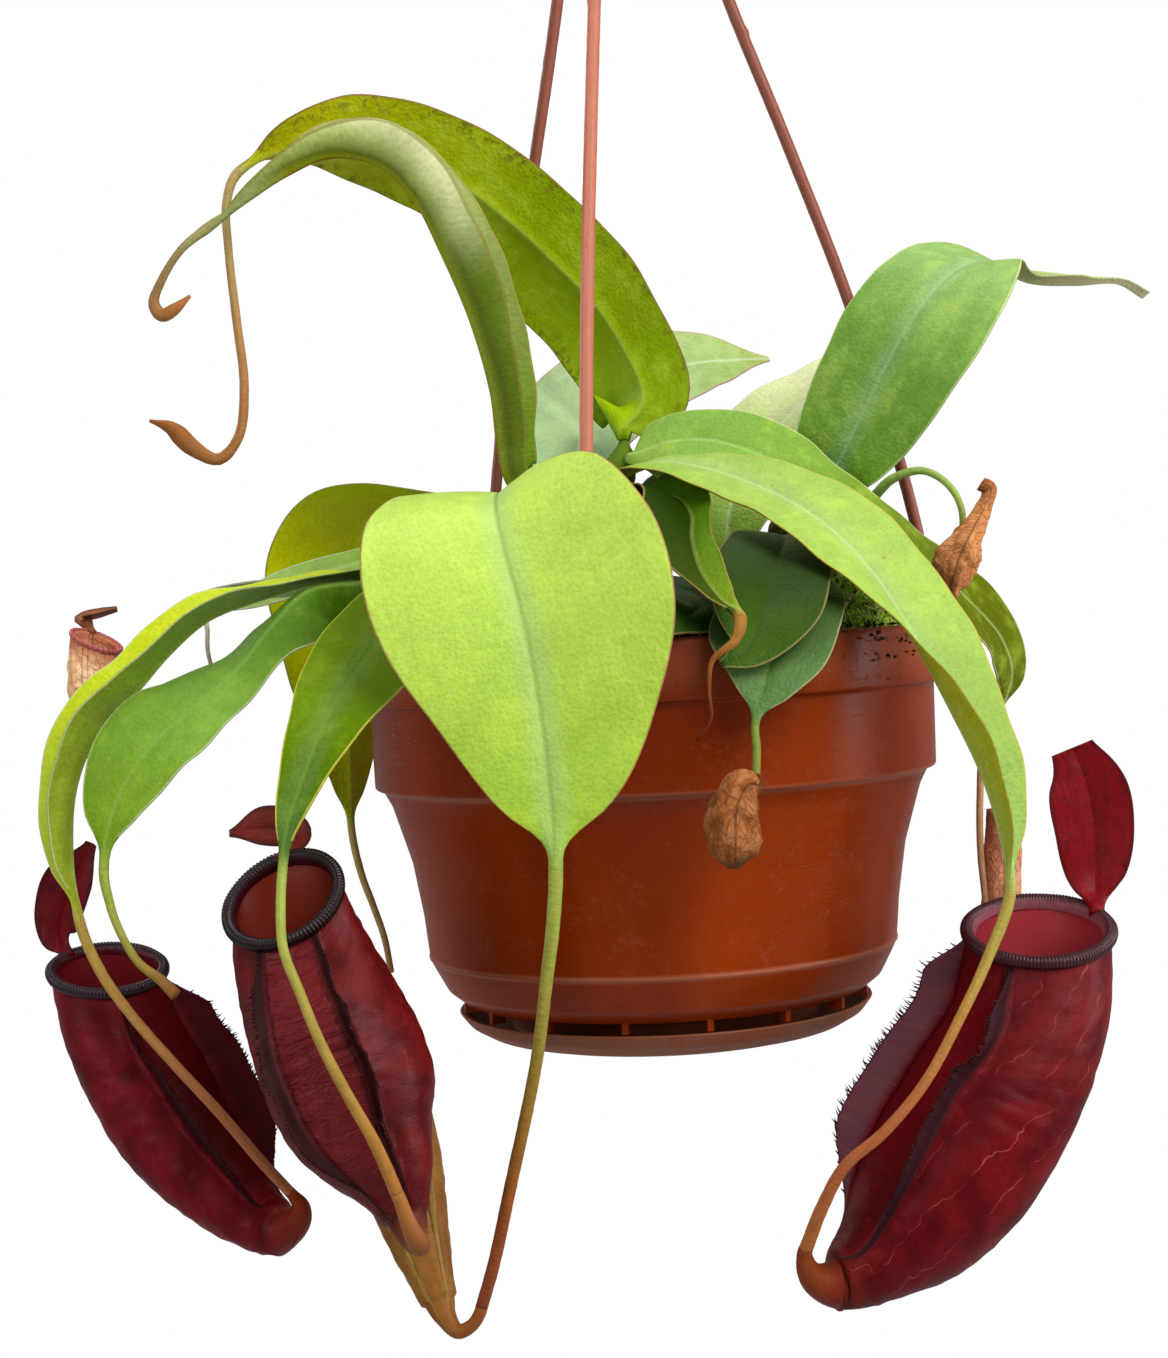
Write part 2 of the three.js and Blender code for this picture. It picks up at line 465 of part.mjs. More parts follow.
const leaves = {
  leaf_back_arch: {
    material: LEAF_OLIVE,
    route: [[-3.6, 2, 48.5], [-3.4, 2.2, 50.5], [0.4, 4, 54.5], [2, 6, 59], [0, 9, 66], [-8, 13, 81], [-18, 15, 93], [-30, 14, 105],
      [-43, 11, 115], [-58, 6, 121], [-77, -3, 122], [-92, -12, 115]],
    width: [7, 12, 13, 14.5, 15, 15, 14.5, 14.5, 13, 8, 0.8],
    rightWidth: [7, 14, 18, 20, 19, 16, 14.5, 14.5, 13, 8, 0.8],
    face: [[0.5, 0.8, 0.2], [0.4, 0.85, 0.3], [0.1, 0.85, 0.5], [0, 0.7, 0.7], [-0.2, 0.4, 0.9]],
    left: [14, 12, 10, 14, 30],
    right: [14, 12, 10, 18, 34],
    tendril: [[-95, -13, 108], [-95, -14, 96], [-94, -14, 80], [-93, -14, 64], [-95, -14, 52],
      [-100, -14, 47], [-106, -14, 50], [-111, -14, 55], [-116, -14, 57]],
    tendrilRadius: [1.2, 1.1, 1.1, 1.2, 2, 2.2, 0.6],
    tendrilSteps: 12,
    stalk: 0.05,
  },
  leaf_left_arch: {
    material: LEAF_MID,
    route: [...onStem(MAIN_STEM, 34, 205), [-24, -4, 33], [-31, -8, 38], [-33, -9, 47], [-34, -11, 60],
      [-38, -13, 77], [-44, -15, 93], [-50, -17, 106], [-58, -18, 114], [-69, -20, 116], [-79, -22, 112],
      [-89, -23, 106], [-98, -24, 100]],
    width: [2, 4, 7, 10, 13, 14, 13.5, 12, 8, 4, 0.8],
    face: [[0.3, 0.1, 1], [0.95, -0.15, 0.2], [0.95, -0.2, 0.25], [0.75, -0.15, 0.6], [0, -0.15, 1], [-0.3, -0.1, 0.9]],
    left: [20, 45, 52, 55, 55, 40],
    right: [20, 45, 52, 55, 55, 40],
    tendril: [[-104, -26, 95], [-109, -26, 88], [-111, -26, 83], [-109, -27, 80], [-106, -28, 81], [-102, -28, 84]],
    tendrilRadius: [1.2, 1, 1, 1.2, 1.7, 0.6],
    tendrilSteps: 10,
    steps: 16,
  },
  leaf_front: {
    material: LEAF_BRIGHT,
    route: [...onStem(MAIN_STEM, 31, -115), [-22, -20, 32], [-30, -42, 33.5], [-31.5, -58, 32.5], [-31, -69, 28],
      [-29, -78, 19.5], [-26, -84.5, 8], [-23.5, -89, -6], [-21.5, -92, -26], [-21, -94, -45]],
    width: [2, 2.5, 3.5, 4.5, 9, 26, 32.5, 31.5, 24.5, 15.5, 0.9],
    rightWidth: [2, 2.5, 4, 10, 22, 29, 31, 28.5, 21.5, 13, 0.9],
    face: [[0, -0.1, 1], [0, -0.1, 1], [0, -0.6, 0.8], [0, -0.9, 0.4], [0, -1, 0.15]],
    left: [10, 20, 38, 22, 7, 6],
    right: [0, 0, 2, 0, 3, 6],
    tendril: [[-22, -95, -56], [-24, -94, -68], [-27, -93, -85], [-34, -91, -112], [-38, -90, -127],
      [-41, -89, -136]],
    tendrilRadius: [1.5, 1.3, 1.3, 1.3],
    stalk: 0.2,
    steps: 18,
  },
  leaf_right_arch: {
    material: LEAF_BRIGHT,
    route: [...onStem(MAIN_STEM, 39, -85), [3, -14, 41], [13, -22, 39], [27, -32, 33], [40, -42, 24], [50, -50, 12],
      [58, -57, -3], [65, -63, -19], [70, -67, -32], [73, -70, -45], [74, -72, -57]],
    width: [3, 4, 8, 12.5, 14, 14.5, 14.5, 13.5, 11, 7, 0.9], rightWidth: [5, 8, 10.5, 12.5, 14, 14.5, 14.5, 13.5, 11, 7, 0.9],
    face: [[0.1, -0.4, 0.9], [0.15, -0.55, 0.8], [0.4, -0.6, 0.7], [0.8, -0.5, 0.4], [0.9, -0.42, 0.15]],
    left: [6, 8, 14, 38, 46],
    right: [6, 8, 14, 40, 48],
    tendril: [[68, -75, -71], [62, -79, -81], [53, -82, -95], [44, -82, -105], [36, -80, -112], [31, -75, -122],
      [27.6, -68, -132.6]],
    tendrilRadius: [1.3, 1.1, 1.2, 1.5],
    stalk: 0.06,
    steps: 18,
  },
  leaf_right_low: {
    material: LEAF_MID,
    route: [...onStem(MAIN_STEM, 43, -60), [6, -5.4, 46], [17, -7.5, 46], [28, -10, 42], [40, -13, 35], [54, -13, 26],
      [66, -7.5, 16], [77, 0, 5.5], [86, 5, -5], [88.5, 7, -14], [85, 8, -23]],
    width: [5, 8.5, 10, 10, 8, 6.5, 7.5, 10, 10.5, 7, 0.8],
    rightWidth: [4, 9, 14, 12, 10, 9.5, 8, 8, 8, 5, 0.8],
    face: [[0, -0.75, 0.65], [0.1, -0.8, 0.6], [0.3, -0.6, 0.7], [0.7, -0.4, 0.6], [0.9, -0.4, 0.2]],
    left: [6, 8, 10, 8, 6],
    right: [6, 8, 10, 8, 6],
    stalk: 0.06,
    tendril: [[81, 7.5, -32], [79.5, 6.5, -44], [79, 6, -57], [79.5, 5, -70], [79, 4, -84], [78.5, 4.5, -91]],
    tendrilRadius: [0.9, 0.8],
    tendrilSteps: 7,
  },
  leaf_upper_right: {
    material: LEAF_MID,
    route: [...onStem(SIDE_STEM, 25, -40), [44, 3, 32], [52, 0.5, 46.5], [59.5, -3, 60.5], [68, -4, 74], [78, 0, 84],
      [88, 10, 87], [100, 22, 84], [113, 31, 84], [125, 37, 84.5], [132, 41, 81]],
    width: [2, 10.5, 16, 17.5, 18, 17.8, 16.5, 9, 4.5, 2.4, 1.4],
    rightWidth: [2, 10.5, 17, 21, 24, 24.5, 19, 10, 4.5, 2.4, 1.4],
    face: [[-0.5, -0.8, 0.3], [-0.4, -0.8, 0.45], [-0.3, -0.65, 0.7], [0, -0.3, 0.95], [0, -0.2, 1]],
    left: [8, 6, 6, 20, 30],
    right: [8, 6, 6, 20, 30],
    steps: 16,
  },
  leaf_pale_back: {
    small: true,
    material: LEAF_PALE,
    route: [...onStem(SIDE_STEM, 13, 165), [22, 13, 17], [21, 14, 24], [23, 16, 33], [32, 22, 47], [46, 29, 60],
      [59, 38, 69], [73, 43, 72]],
    width: [2, 6, 11, 13, 13, 12, 9, 4.5, 0.7],
    face: [[0.2, -0.8, 0.4], [-0.2, -0.9, 0.3], [-0.5, -0.7, 0.5], [-0.3, -0.6, 0.75]],
    left: [10, 8, 10],
    right: [10, 8, 10],
    steps: 10,
  },
  leaf_back: {
    small: true,
    material: LEAF_PALE,
    route: [...onStem(MAIN_STEM, 40, 110), [-16, 17, 42], [-12, 31, 55], [-1, 44, 66], [16, 55, 71], [36, 62, 72]],
    width: [2, 8, 15, 17, 15, 10, 0.8],
    face: [[0, -0.6, 0.8], [0, -0.8, 0.6], [0, -0.75, 0.65]],
    left: [10, 8, 10],
    right: [10, 8, 10],
    steps: 11,
  },
  leaf_left_rear: {
    material: LEAF_OLIVE,
    route: [...onStem(MAIN_STEM, 29, 160), [-34, 8, 31], [-52, 14, 33], [-66, 22, 32.5], [-75, 29, 22], [-78, 33, 6],
      [-79, 35, -12], [-79, 34, -32], [-79, 32, -47]],
    width: [2, 5, 12, 21, 25, 24, 19, 14, 7, 0.8],
    face: [[0, 0, 1], [-0.2, 0.3, 0.9], [-0.6, 0.65, 0.5], [-0.7, 0.75, 0], [-0.7, 0.75, 0]],
    left: [6, 4, 4, 4, 6],
    right: [6, 4, 4, 4, 6],
    tendril: [[-77, 31, -58], [-74, 28, -66], [-71, 24, -74], [-69, 18, -82]],
    tendrilRadius: [1, 0.8],
    tendrilSteps: 6,
  },
  leaf_far_left: {
    material: LEAF_BRIGHT,
    route: [...onStem(MAIN_STEM, 17, 200), [-38, -12, 17], [-57, -22, 17], [-73, -32, 17], [-89, -41, 13],
      [-99, -46, 9], [-107, -50, 2], [-114, -53, -6], [-122, -56, -14], [-127.3, -59, -26], [-128.3, -62, -41],
      [-126.5, -64, -56]],
    width: [2, 4, 6, 7, 7.5, 8.5, 10, 11, 10.5, 7, 0.8],
    face: [[0, 0.1, 1], [0, 0, 1], [-0.2, -0.15, 0.95], [-0.6, -0.35, 0.7], [-0.9, -0.4, 0.2], [-0.9, -0.4, 0]],
    left: [4, 6, 12, 34, 44, 46],
    right: [4, 6, 12, 34, 44, 46],
    tendril: [[-122, -67, -66], [-115, -71, -75], [-106, -74, -85], [-96, -76, -96], [-88, -74.5, -107],
      [-82.6, -71, -115]],
    tendrilRadius: [1.2, 1.1, 1.2],
    steps: 16,
  },
  leaf_twisted_left: {
    material: LEAF_MID,
    route: [...onStem(MAIN_STEM, 14, 222), [-36, -18, 13], [-54, -30, 14], [-66, -39, 15.5], [-76, -46, 14],
      [-83, -52, 7], [-90, -57, -2], [-99, -62, -10], [-108, -67, -18], [-115, -71, -29], [-118, -75, -43]],
    width: [2, 5, 8, 8, 13, 17, 8, 8, 11, 8.5, 0.8],
    rightWidth: [2, 4, 6, 8, 9, 8.5, 9.5, 13.5, 15, 10, 0.8],
    face: [[0, -0.1, 1], [0, -0.2, 1], [-0.2, -0.35, 0.9], [-0.8, -0.5, 0.3], [-0.45, -0.85, 0.3], [-0.35, -0.9, 0.2]],
    left: [0, -25, -58, -48, 0, 8],
    right: [0, -6, -14, 0, 0, 8],
    tendril: [[-117, -76, -50], [-115, -77, -56], [-111, -78, -63], [-106, -79, -67], [-103, -80, -70]],
    tendrilRadius: [1.1, 0.9, 0.9, 1.3],
    tendrilSteps: 7,
    steps: 16,
  },
  leaf_lower_left: {
    material: LEAF_DARK,
    route: [...onStem(MAIN_STEM, 24, 240), [-30, -24, 21], [-43, -42, 17], [-54, -57, 8], [-62, -69, -3],
      [-68, -81, -14], [-72, -90, -25], [-75, -96, -35], [-76, -99, -43]],
    width: [2, 4, 8, 14, 17, 17, 14.5, 9.5, 5, 0.8],
    rightWidth: [2, 4, 7, 9, 11, 12.5, 11.5, 8, 4.5, 0.8],
    face: [[0, -0.1, 1], [-0.1, -0.6, 0.8], [-0.25, -0.85, 0.5], [-0.35, -0.85, 0.35]],
    left: [4, 4, 6, 12],
    right: [4, 4, 6, 12],
    tendril: [[-76, -103, -49], [-75, -109, -57], [-71.2, -115, -65], [-67.2, -119, -74], [-62.2, -121, -84],
      [-57.2, -121, -94], [-53.6, -120, -104]],
    tendrilRadius: [1, 1, 1.1, 1.3],
  },
  leaf_small_left: {
    small: true,
    material: LEAF_PALE,
    route: [...onStem(MAIN_STEM, 20, 183), [-40, -1, 13.5], [-59, -7, 12], [-76, -12, 14], [-94, -18, 14],
      [-107, -24, 12], [-114, -28, 8]],
    width: [1.6, 4, 6.5, 7.5, 7.5, 6, 0.7],
    face: [[0, 0, 1], [0, 0.1, 1], [-0.3, 0, 0.9]],
    left: [8, 14, 30],
    right: [8, 14, 30],
    tendril: [[-118, -31, 1], [-120, -34, -9], [-122, -36, -19], [-124, -38, -27]],
    tendrilRadius: [0.8, 0.8],
    steps: 9,
    tendrilSteps: 6,
  },
  leaf_tip_left: {
    small: true,
    material: LEAF_PALE,
    route: [...onStem(MAIN_STEM, 25, 178), [-36, 4, 24.5], [-58, 4, 23.5], [-77, 4, 19.5], [-95, 2, 14], [-107, -1, 10]],
    width: [1.6, 4, 6, 8, 7, 0.7],
    face: [[0, -0.2, 1], [-0.1, -0.8, 0.6], [-0.2, -0.9, 0.3]],
    left: [8, 8, 8],
    right: [8, 8, 8],
    tendril: [[-107, -3, 6], [-107, -4, 2], [-106, -5, -3]],
    tendrilRadius: [0.6, 0.5],
    steps: 9,
    tendrilSteps: 3,
  },
  leaf_young_curled: {
    small: true,
    material: LEAF_DARK,
    route: [...onStem(MAIN_STEM, 31, -70), [1, -16, 32], [8, -26, 31.5], [11, -34, 27.5], [10.7, -50, 20.9], [12, -63.5, 13.8], [15.4, -75, 7.8], [19.2, -84, 3.4]],
    width: [1.6, 2.2, 3, 4, 5, 5.5, 4, 0.9],
    rightWidth: [1.6, 5, 11, 13, 13, 11, 6, 0.9],
    face: [[0.1, -0.3, 0.9], [0.25, -0.6, 0.75], [0.35, -0.85, 0.4]],
    left: [10, 30, 42, 35],
    right: [6, 12, 16, 20],
    tendril: [[17.8, -87, -1], [15, -88, -3], [12.8, -88, -5], [12, -88, -11], [12, -88, -17], [9, -88, -21]],
    tendrilRadius: [1.3, 1, 0.5, 0.45],
    tendrilSteps: 9,
    steps: 10,
  },
  leaf_young_round: {
    small: true,
    material: LEAF_DARK,
    route: [...onStem(SIDE_STEM, 20, -110), [32.5, -18, 22], [32, -36, 20], [28, -54, 13.5], [25, -68, 5], [20.5, -76.5, -3.5],
      [15, -79, -6]],
    width: [1.6, 3, 8, 12, 13, 11, 0.9],
    face: [[0, -0.2, 1], [0.1, -0.4, 0.9], [0.1, -0.9, 0.4]],
    left: [6, 10, 6],
    right: [6, 10, 6],
    steps: 10,
  },
  leaf_young_front: {
    small: true,
    material: LEAF_DARK,
    route: [...onStem(SIDE_STEM, 14, -95), [32, -18, 13], [33, -38, 11], [32, -54, 7], [27.5, -67, -1.5], [24.5, -74.5, -10],
      [21.5, -77.5, -19]],
    width: [1.6, 3, 6, 10, 12, 11, 0.9],
    rightWidth: [1.6, 3, 6, 10, 13, 14, 0.9],
    face: [[0, -0.2, 1], [0.1, -0.5, 0.8], [0.1, -0.9, 0.4]],
    left: [6, 8, 6],
    right: [6, 8, 6],
    tendril: [[21.5, -79.5, -24], [21, -81, -29.5]],
    tendrilRadius: [0.9, 0.9],
    tendrilSteps: 2,
    steps: 10,
  },
  leaf_young_dark: {
    small: true,
    material: LEAF_DARK,
    route: [...onStem(MAIN_STEM, 16, -60), [-2, -22, 14], [6, -40, 11], [11.5, -52, 8.5], [11, -62, 5.5], [6, -70, 3.5],
      [0, -75, 0.5]],
    width: [1.6, 3, 5, 7, 7.5, 6, 0.8],
    face: [[0, -0.1, 1], [0.1, -0.4, 0.9], [0.2, -0.9, 0.4]],
    left: [4, 6, 6],
    right: [4, 6, 6],
    steps: 9,
  },
  leaf_narrow_right: {
    small: true,
    material: LEAF_MID,
    route: [...onStem(SIDE_STEM, 22, -5), [43, 3.5, 22.5], [49, -2, 25], [55, -5, 30]],
    width: [1.6, 2.6, 2.4, 1.2],
    face: [[0, -0.4, 0.9], [0, -0.6, 0.8]],
    left: [10, 10],
    right: [10, 10],
    tendril: [[60, -9.5, 34.6], [66.8, -13, 35.9], [72.2, -15, 32.3], [75, -16, 26.4], [74.8, -14, 17.6],
      [73.6, -13.5, 10], [72.2, -15.5, 7]],
    tendrilRadius: [1.3, 0.9, 0.8, 0.8],
    tendrilSteps: 9,
    steps: 6,
    stalk: 0.3,
  },
};

// Pitchers. The tail goes on from the tendril's end, and the axis runs up the body to the middle of the mouth.
// width is half the body's width at even steps, front is the side with the wings, mouth is where it opens to.

const pitchers = {
  pitcher_left: {
    hangsFrom: 'leaf_far_left',
    material: MAROON,
    tail: [[-80.8, -69, -118.6], [-81.7, -67, -121.8], [-84.5, -64.5, -124.2]],
    tailRadius: [1.2, 2.1, 3.4, 5],
    axis: [[-88.5, -61.5, -124.8], [-95, -58, -121], [-102.5, -54, -114.5], [-111, -50, -105], [-117.5, -47, -94],
      [-123, -45, -81.5], [-126, -44, -70]],
    width: [7, 10, 12.4, 13.8, 14.4, 14.2, 13.4],
    front: [0.866, -0.5, 0.1],
    mouth: [0.14, -0.25, 0.96],
    lip: 1.4,
    wing: 8.5,
    lid: {
      route: [[-138.5, -37, -62], [-135.5, -37.5, -52], [-129.5, -37.5, -41]],
      width: [1.8, 6.5, 6.5, 1.5], face: [[-0.2, -0.9, 0.2], [-0.2, -0.9, 0.2]],
      left: [20, 20], right: [20, 20], steps: 7, petiole: 1.4,
    },
  },
  pitcher_front_left: {
    hangsFrom: 'leaf_lower_left',
    material: MAROON,
    tail: [[-51.5, -119, -111], [-50.3, -116.4, -115], [-51.6, -112.8, -114.6]],
    tailRadius: [1.3, 1.7, 2.3, 3.2],
    axis: [[-53.3, -109.4, -111], [-56, -107.5, -104], [-61, -104.5, -94], [-65, -101, -83], [-70, -98, -71],
      [-74, -95, -61], [-77, -91.5, -50]],
    width: [4.4, 9.6, 15, 16.6, 15.8, 14.2, 12.4],
    front: [-0.13, -0.99, 0],
    mouth: [-0.27, -0.68, 0.68],
    lip: 1.6,
    wing: 4,
    lid: {
      route: [[-75.5, -81.5, -37.5], [-81, -80, -35.5], [-90, -79, -36.5]],
      width: [1.6, 4, 4.5, 0.8], face: [[0, -0.9, 0.4], [-0.1, -0.9, 0.4]],
      left: [20, 20], right: [20, 20], steps: 6, petiole: 1.4,
    },
  },
  pitcher_right: {
    hangsFrom: 'leaf_right_arch',
    material: MAROON,
    tail: [[27.8, -66, -137.5], [30, -64.2, -140.6], [34, -62.4, -142]],
    tailRadius: [1.5, 2.7, 4.4, 6.4],
    axis: [[38.5, -60.5, -140.5], [49, -58, -132.5], [62.2, -55, -117.5], [73.2, -51, -102], [81.2, -48, -85.5],
      [84, -45, -70.5]],
    width: [9, 15.4, 18.9, 19.9, 19.5, 18.5, 17.2],
    front: [-0.927, -0.375, 0],
    mouth: [-0.06, -0.28, 0.96],
    lip: 1.7,
    wing: 8.5,
    lid: {
      route: [[98.8, -35.5, -61], [99.5, -34, -49], [98, -33, -37], [95.5, -32, -30]],
      width: [1.6, 7, 9, 9, 5], face: [[-0.2, -0.9, 0.2], [-0.2, -0.9, 0.2]],
      left: [14, 10], right: [14, 10], steps: 8, petiole: 1.8,
    },
  },
  pitcher_behind: {
    hangsFrom: 'leaf_front',
    material: TAN_PITCHER,
    tail: [[-43.3, -88.5, -140], [-46.4, -87.5, -141.4], [-49, -85.5, -138.8]],
    tailRadius: [1.3, 1.4, 1.8, 2.6],
    axis: [[-50.4, -83.5, -135.8], [-53, -80.5, -128.5], [-56, -76.5, -119], [-59, -72, -107], [-63, -69, -93],
      [-68, -67, -79], [-72, -66, -68], [-75, -66, -58]],
    width: [3.4, 5.4, 9.2, 12.2, 12.8, 12, 10.8, 9.5],
    front: [0.2, -0.95, 0],
    mouth: [0.3, -0.3, 0.9],
    lip: 1.2,
    wing: 3,
    steps: 9,
  },
  pitcher_dry_left: {
    hangsFrom: 'leaf_small_left',
    material: DRY_PEACH,
    tail: [[-125.5, -38.5, -29.5], [-126.5, -37.5, -28], [-127, -36, -25]],
    tailRadius: [0.8, 1.6],
    axis: [[-127.5, -35, -22], [-128, -35, -16], [-128, -34.5, -8], [-127.5, -34, 0], [-127, -34, 5]],
    width: [2.4, 4.2, 5.6, 6.2, 6],
    front: [0.5, -0.8, 0],
    mouth: [0.45, -0.2, 0.88],
    lip: 0.6,
    steps: 6,
    tailSteps: 3,
    cupBottom: 0.3,
    lid: {
      route: [[-131, -28.5, 10.5], [-127, -28.5, 11.5], [-123, -28.5, 12.5]],
      width: [1.2, 2.2, 2, 1], face: [[0, -0.4, 1], [0, -0.4, 1]],
      left: [25, 25], right: [25, 25], steps: 5, petiole: 1,
    },
  },
};

const withered = {
  pitcher_dry_front: {
    hangsFrom: 'leaf_young_front',
    material: DRY_BROWN,
    axis: [[18, -84, -31.5], [16, -84.5, -36], [15.5, -84.5, -42], [15.5, -84, -48]],
    width: [1.2, 3.4, 5.4, 6, 5, 1],
  },
  pitcher_dry_right: {
    hangsFrom: 'leaf_narrow_right',
    material: DRY_BROWN,
    axis: [[71, -20, 8], [73, -21.5, 14.8], [76, -22, 20.6], [79, -22, 25.5], [80.9, -22, 30.4], [79, -22, 31.8]],
    width: [0.9, 3, 5.6, 5.8, 3.4, 1.9, 1.4, 1],
    steps: 11,
  },
  pitcher_dry_rear: {
    hangsFrom: 'leaf_right_low',
    material: DRY_PEACH,
    axis: [[80, 5, -93.4], [82, 6, -90], [83.5, 7, -76], [84.5, 8, -62], [85, 8, -47]],
    width: [0.8, 1.2, 3, 3.8, 3.8, 3.6, 3],
    crease: 0.05,
    steps: 10,
  },
};

const plant = new THREE.Group();
plant.position.z = -HOOK_SEAT_Z;

function addPiece(name, geometry, surface) {
  const mesh = new THREE.Mesh(geometry, new THREE.MeshStandardMaterial(surface));
  mesh.name = name;
  plant.add(mesh);
}

addPiece('pot', potGeometry(), TERRACOTTA);
addPiece('saucer', lathe(saucerProfile, POT_SIDES), SAUCER_BROWN);
addPiece('soil', soilGeometry(), SOIL_BROWN);
addPiece('hanger_hook', hookGeometry(), STRAND_RED);
for (const [side, turn] of Object.entries(STRAND_ANGLES)) {
  addPiece(`hanger_strand_${side}`, strandGeometry(turn), STRAND_RED);
}
addPiece('stem_main', loft(stemRings(MAIN_STEM, 0)), STEM_GREEN);
addPiece('stem_side', loft(stemRings(SIDE_STEM, 0)), STEM_GREEN);
for (const [name, leaf] of Object.entries(leaves)) {
  addPiece(name, leafGeometry(leaf), leaf.material);
}
for (const [name, pitcher] of Object.entries(pitchers)) {
  addPiece(name, pitcherGeometry(pitcher), pitcher.material);
}
for (const [name, bag] of Object.entries(withered)) {
  addPiece(name, witheredGeometry(bag), bag.material);
}

const model = new THREE.Group();
model.add(plant);
export default model;
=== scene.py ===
"""A pitcher plant in a plastic hanging pot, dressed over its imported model."""

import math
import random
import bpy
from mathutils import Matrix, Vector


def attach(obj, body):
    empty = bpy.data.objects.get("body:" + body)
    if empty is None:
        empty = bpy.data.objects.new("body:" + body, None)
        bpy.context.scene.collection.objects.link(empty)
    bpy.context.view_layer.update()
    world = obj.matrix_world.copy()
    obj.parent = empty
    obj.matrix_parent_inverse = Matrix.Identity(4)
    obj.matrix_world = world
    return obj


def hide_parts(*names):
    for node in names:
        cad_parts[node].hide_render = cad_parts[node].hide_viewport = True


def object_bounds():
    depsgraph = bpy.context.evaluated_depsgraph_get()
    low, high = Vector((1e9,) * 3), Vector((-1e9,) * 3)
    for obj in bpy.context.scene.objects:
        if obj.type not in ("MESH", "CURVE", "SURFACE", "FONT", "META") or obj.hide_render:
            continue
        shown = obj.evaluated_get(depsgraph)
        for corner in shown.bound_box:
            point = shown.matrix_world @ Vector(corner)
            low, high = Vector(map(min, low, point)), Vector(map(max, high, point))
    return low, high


bl_info = {
    "name": "Hanging Pitcher Plant",
    "version": (1, 0, 0),
    "blender": (4, 5, 0),
    "location": "3D View > Sidebar > Pitcher Plant",
    "description": "Leaves, tendrils, pitchers, moss and a terracotta coloured hanging pot",
    "category": "Object",
}

import bmesh
import bpy
import numpy as np
from mathutils import Matrix, Vector, noise

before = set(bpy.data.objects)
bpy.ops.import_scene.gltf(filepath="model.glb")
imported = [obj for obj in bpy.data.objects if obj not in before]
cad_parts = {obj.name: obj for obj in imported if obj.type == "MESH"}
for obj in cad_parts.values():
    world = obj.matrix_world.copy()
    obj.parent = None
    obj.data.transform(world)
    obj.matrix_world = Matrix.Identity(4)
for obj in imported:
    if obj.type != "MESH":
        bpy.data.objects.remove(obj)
MODEL_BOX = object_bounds()

# The camera, fitted to the rim, the ridge and the saucer: pixels for the photograph's height
# and focal length, millimetres for the sensor and the two places, and degrees for the roll.
PHOTO_HEIGHT = 1358
PHOTO_FOCAL = 2300
SENSOR = 36
CAMERA_EYE = (0, -560, 6)
CAMERA_TARGET = (-16.1, 0, -9.8)
CAMERA_ROLL = 2.8

# Routes and profiles below are millimetres from the middle of the pot's rim.
# The model hangs from its hook, which is this much higher.
HOOK_SEAT = 274.7
MILLIMETRE = 0.001
POT_RADIUS = 70
STRAND_RADIUS = 1.5
STRAND_ANGLES = {"front": -100, "left": 126, "right": 12}
STRAND_ROUTE = (
    (71.7, 1), (71, 14), (65, 43), (54.5, 80), (41, 118), (27.5, 154), (14, 196), (3.6, 231.2),
)
MAIN_STEM = {"base": (-15, 4, -15.7), "top": (-4, 2, 45), "radius": 4}
SIDE_STEM = {"base": (27, 10, -15.7), "top": (34, 6, 27), "radius": 3.2}
STEM_STAND_OFF = 0.45
TENDRIL_GAP = 0.3
SOIL_PROFILE = ((0, 9), (30, 8), (50, 2.5), (66.7, -6))


def on_stem(stem, height, turn):
    """Two points of a leaf: just off the stem at a height and a turn, then straight out."""
    share = (height - stem["base"][2]) / (stem["top"][2] - stem["base"][2])
    middle = [stem["base"][axis] + share * (stem["top"][axis] - stem["base"][axis]) for axis in (0, 1)]
    way = (math.cos(math.radians(turn)), math.sin(math.radians(turn)))
    reaches = (stem["radius"] + STEM_STAND_OFF, stem["radius"] + 2)
    return [(middle[0] + r * way[0], middle[1] + r * way[1], height) for r in reaches]


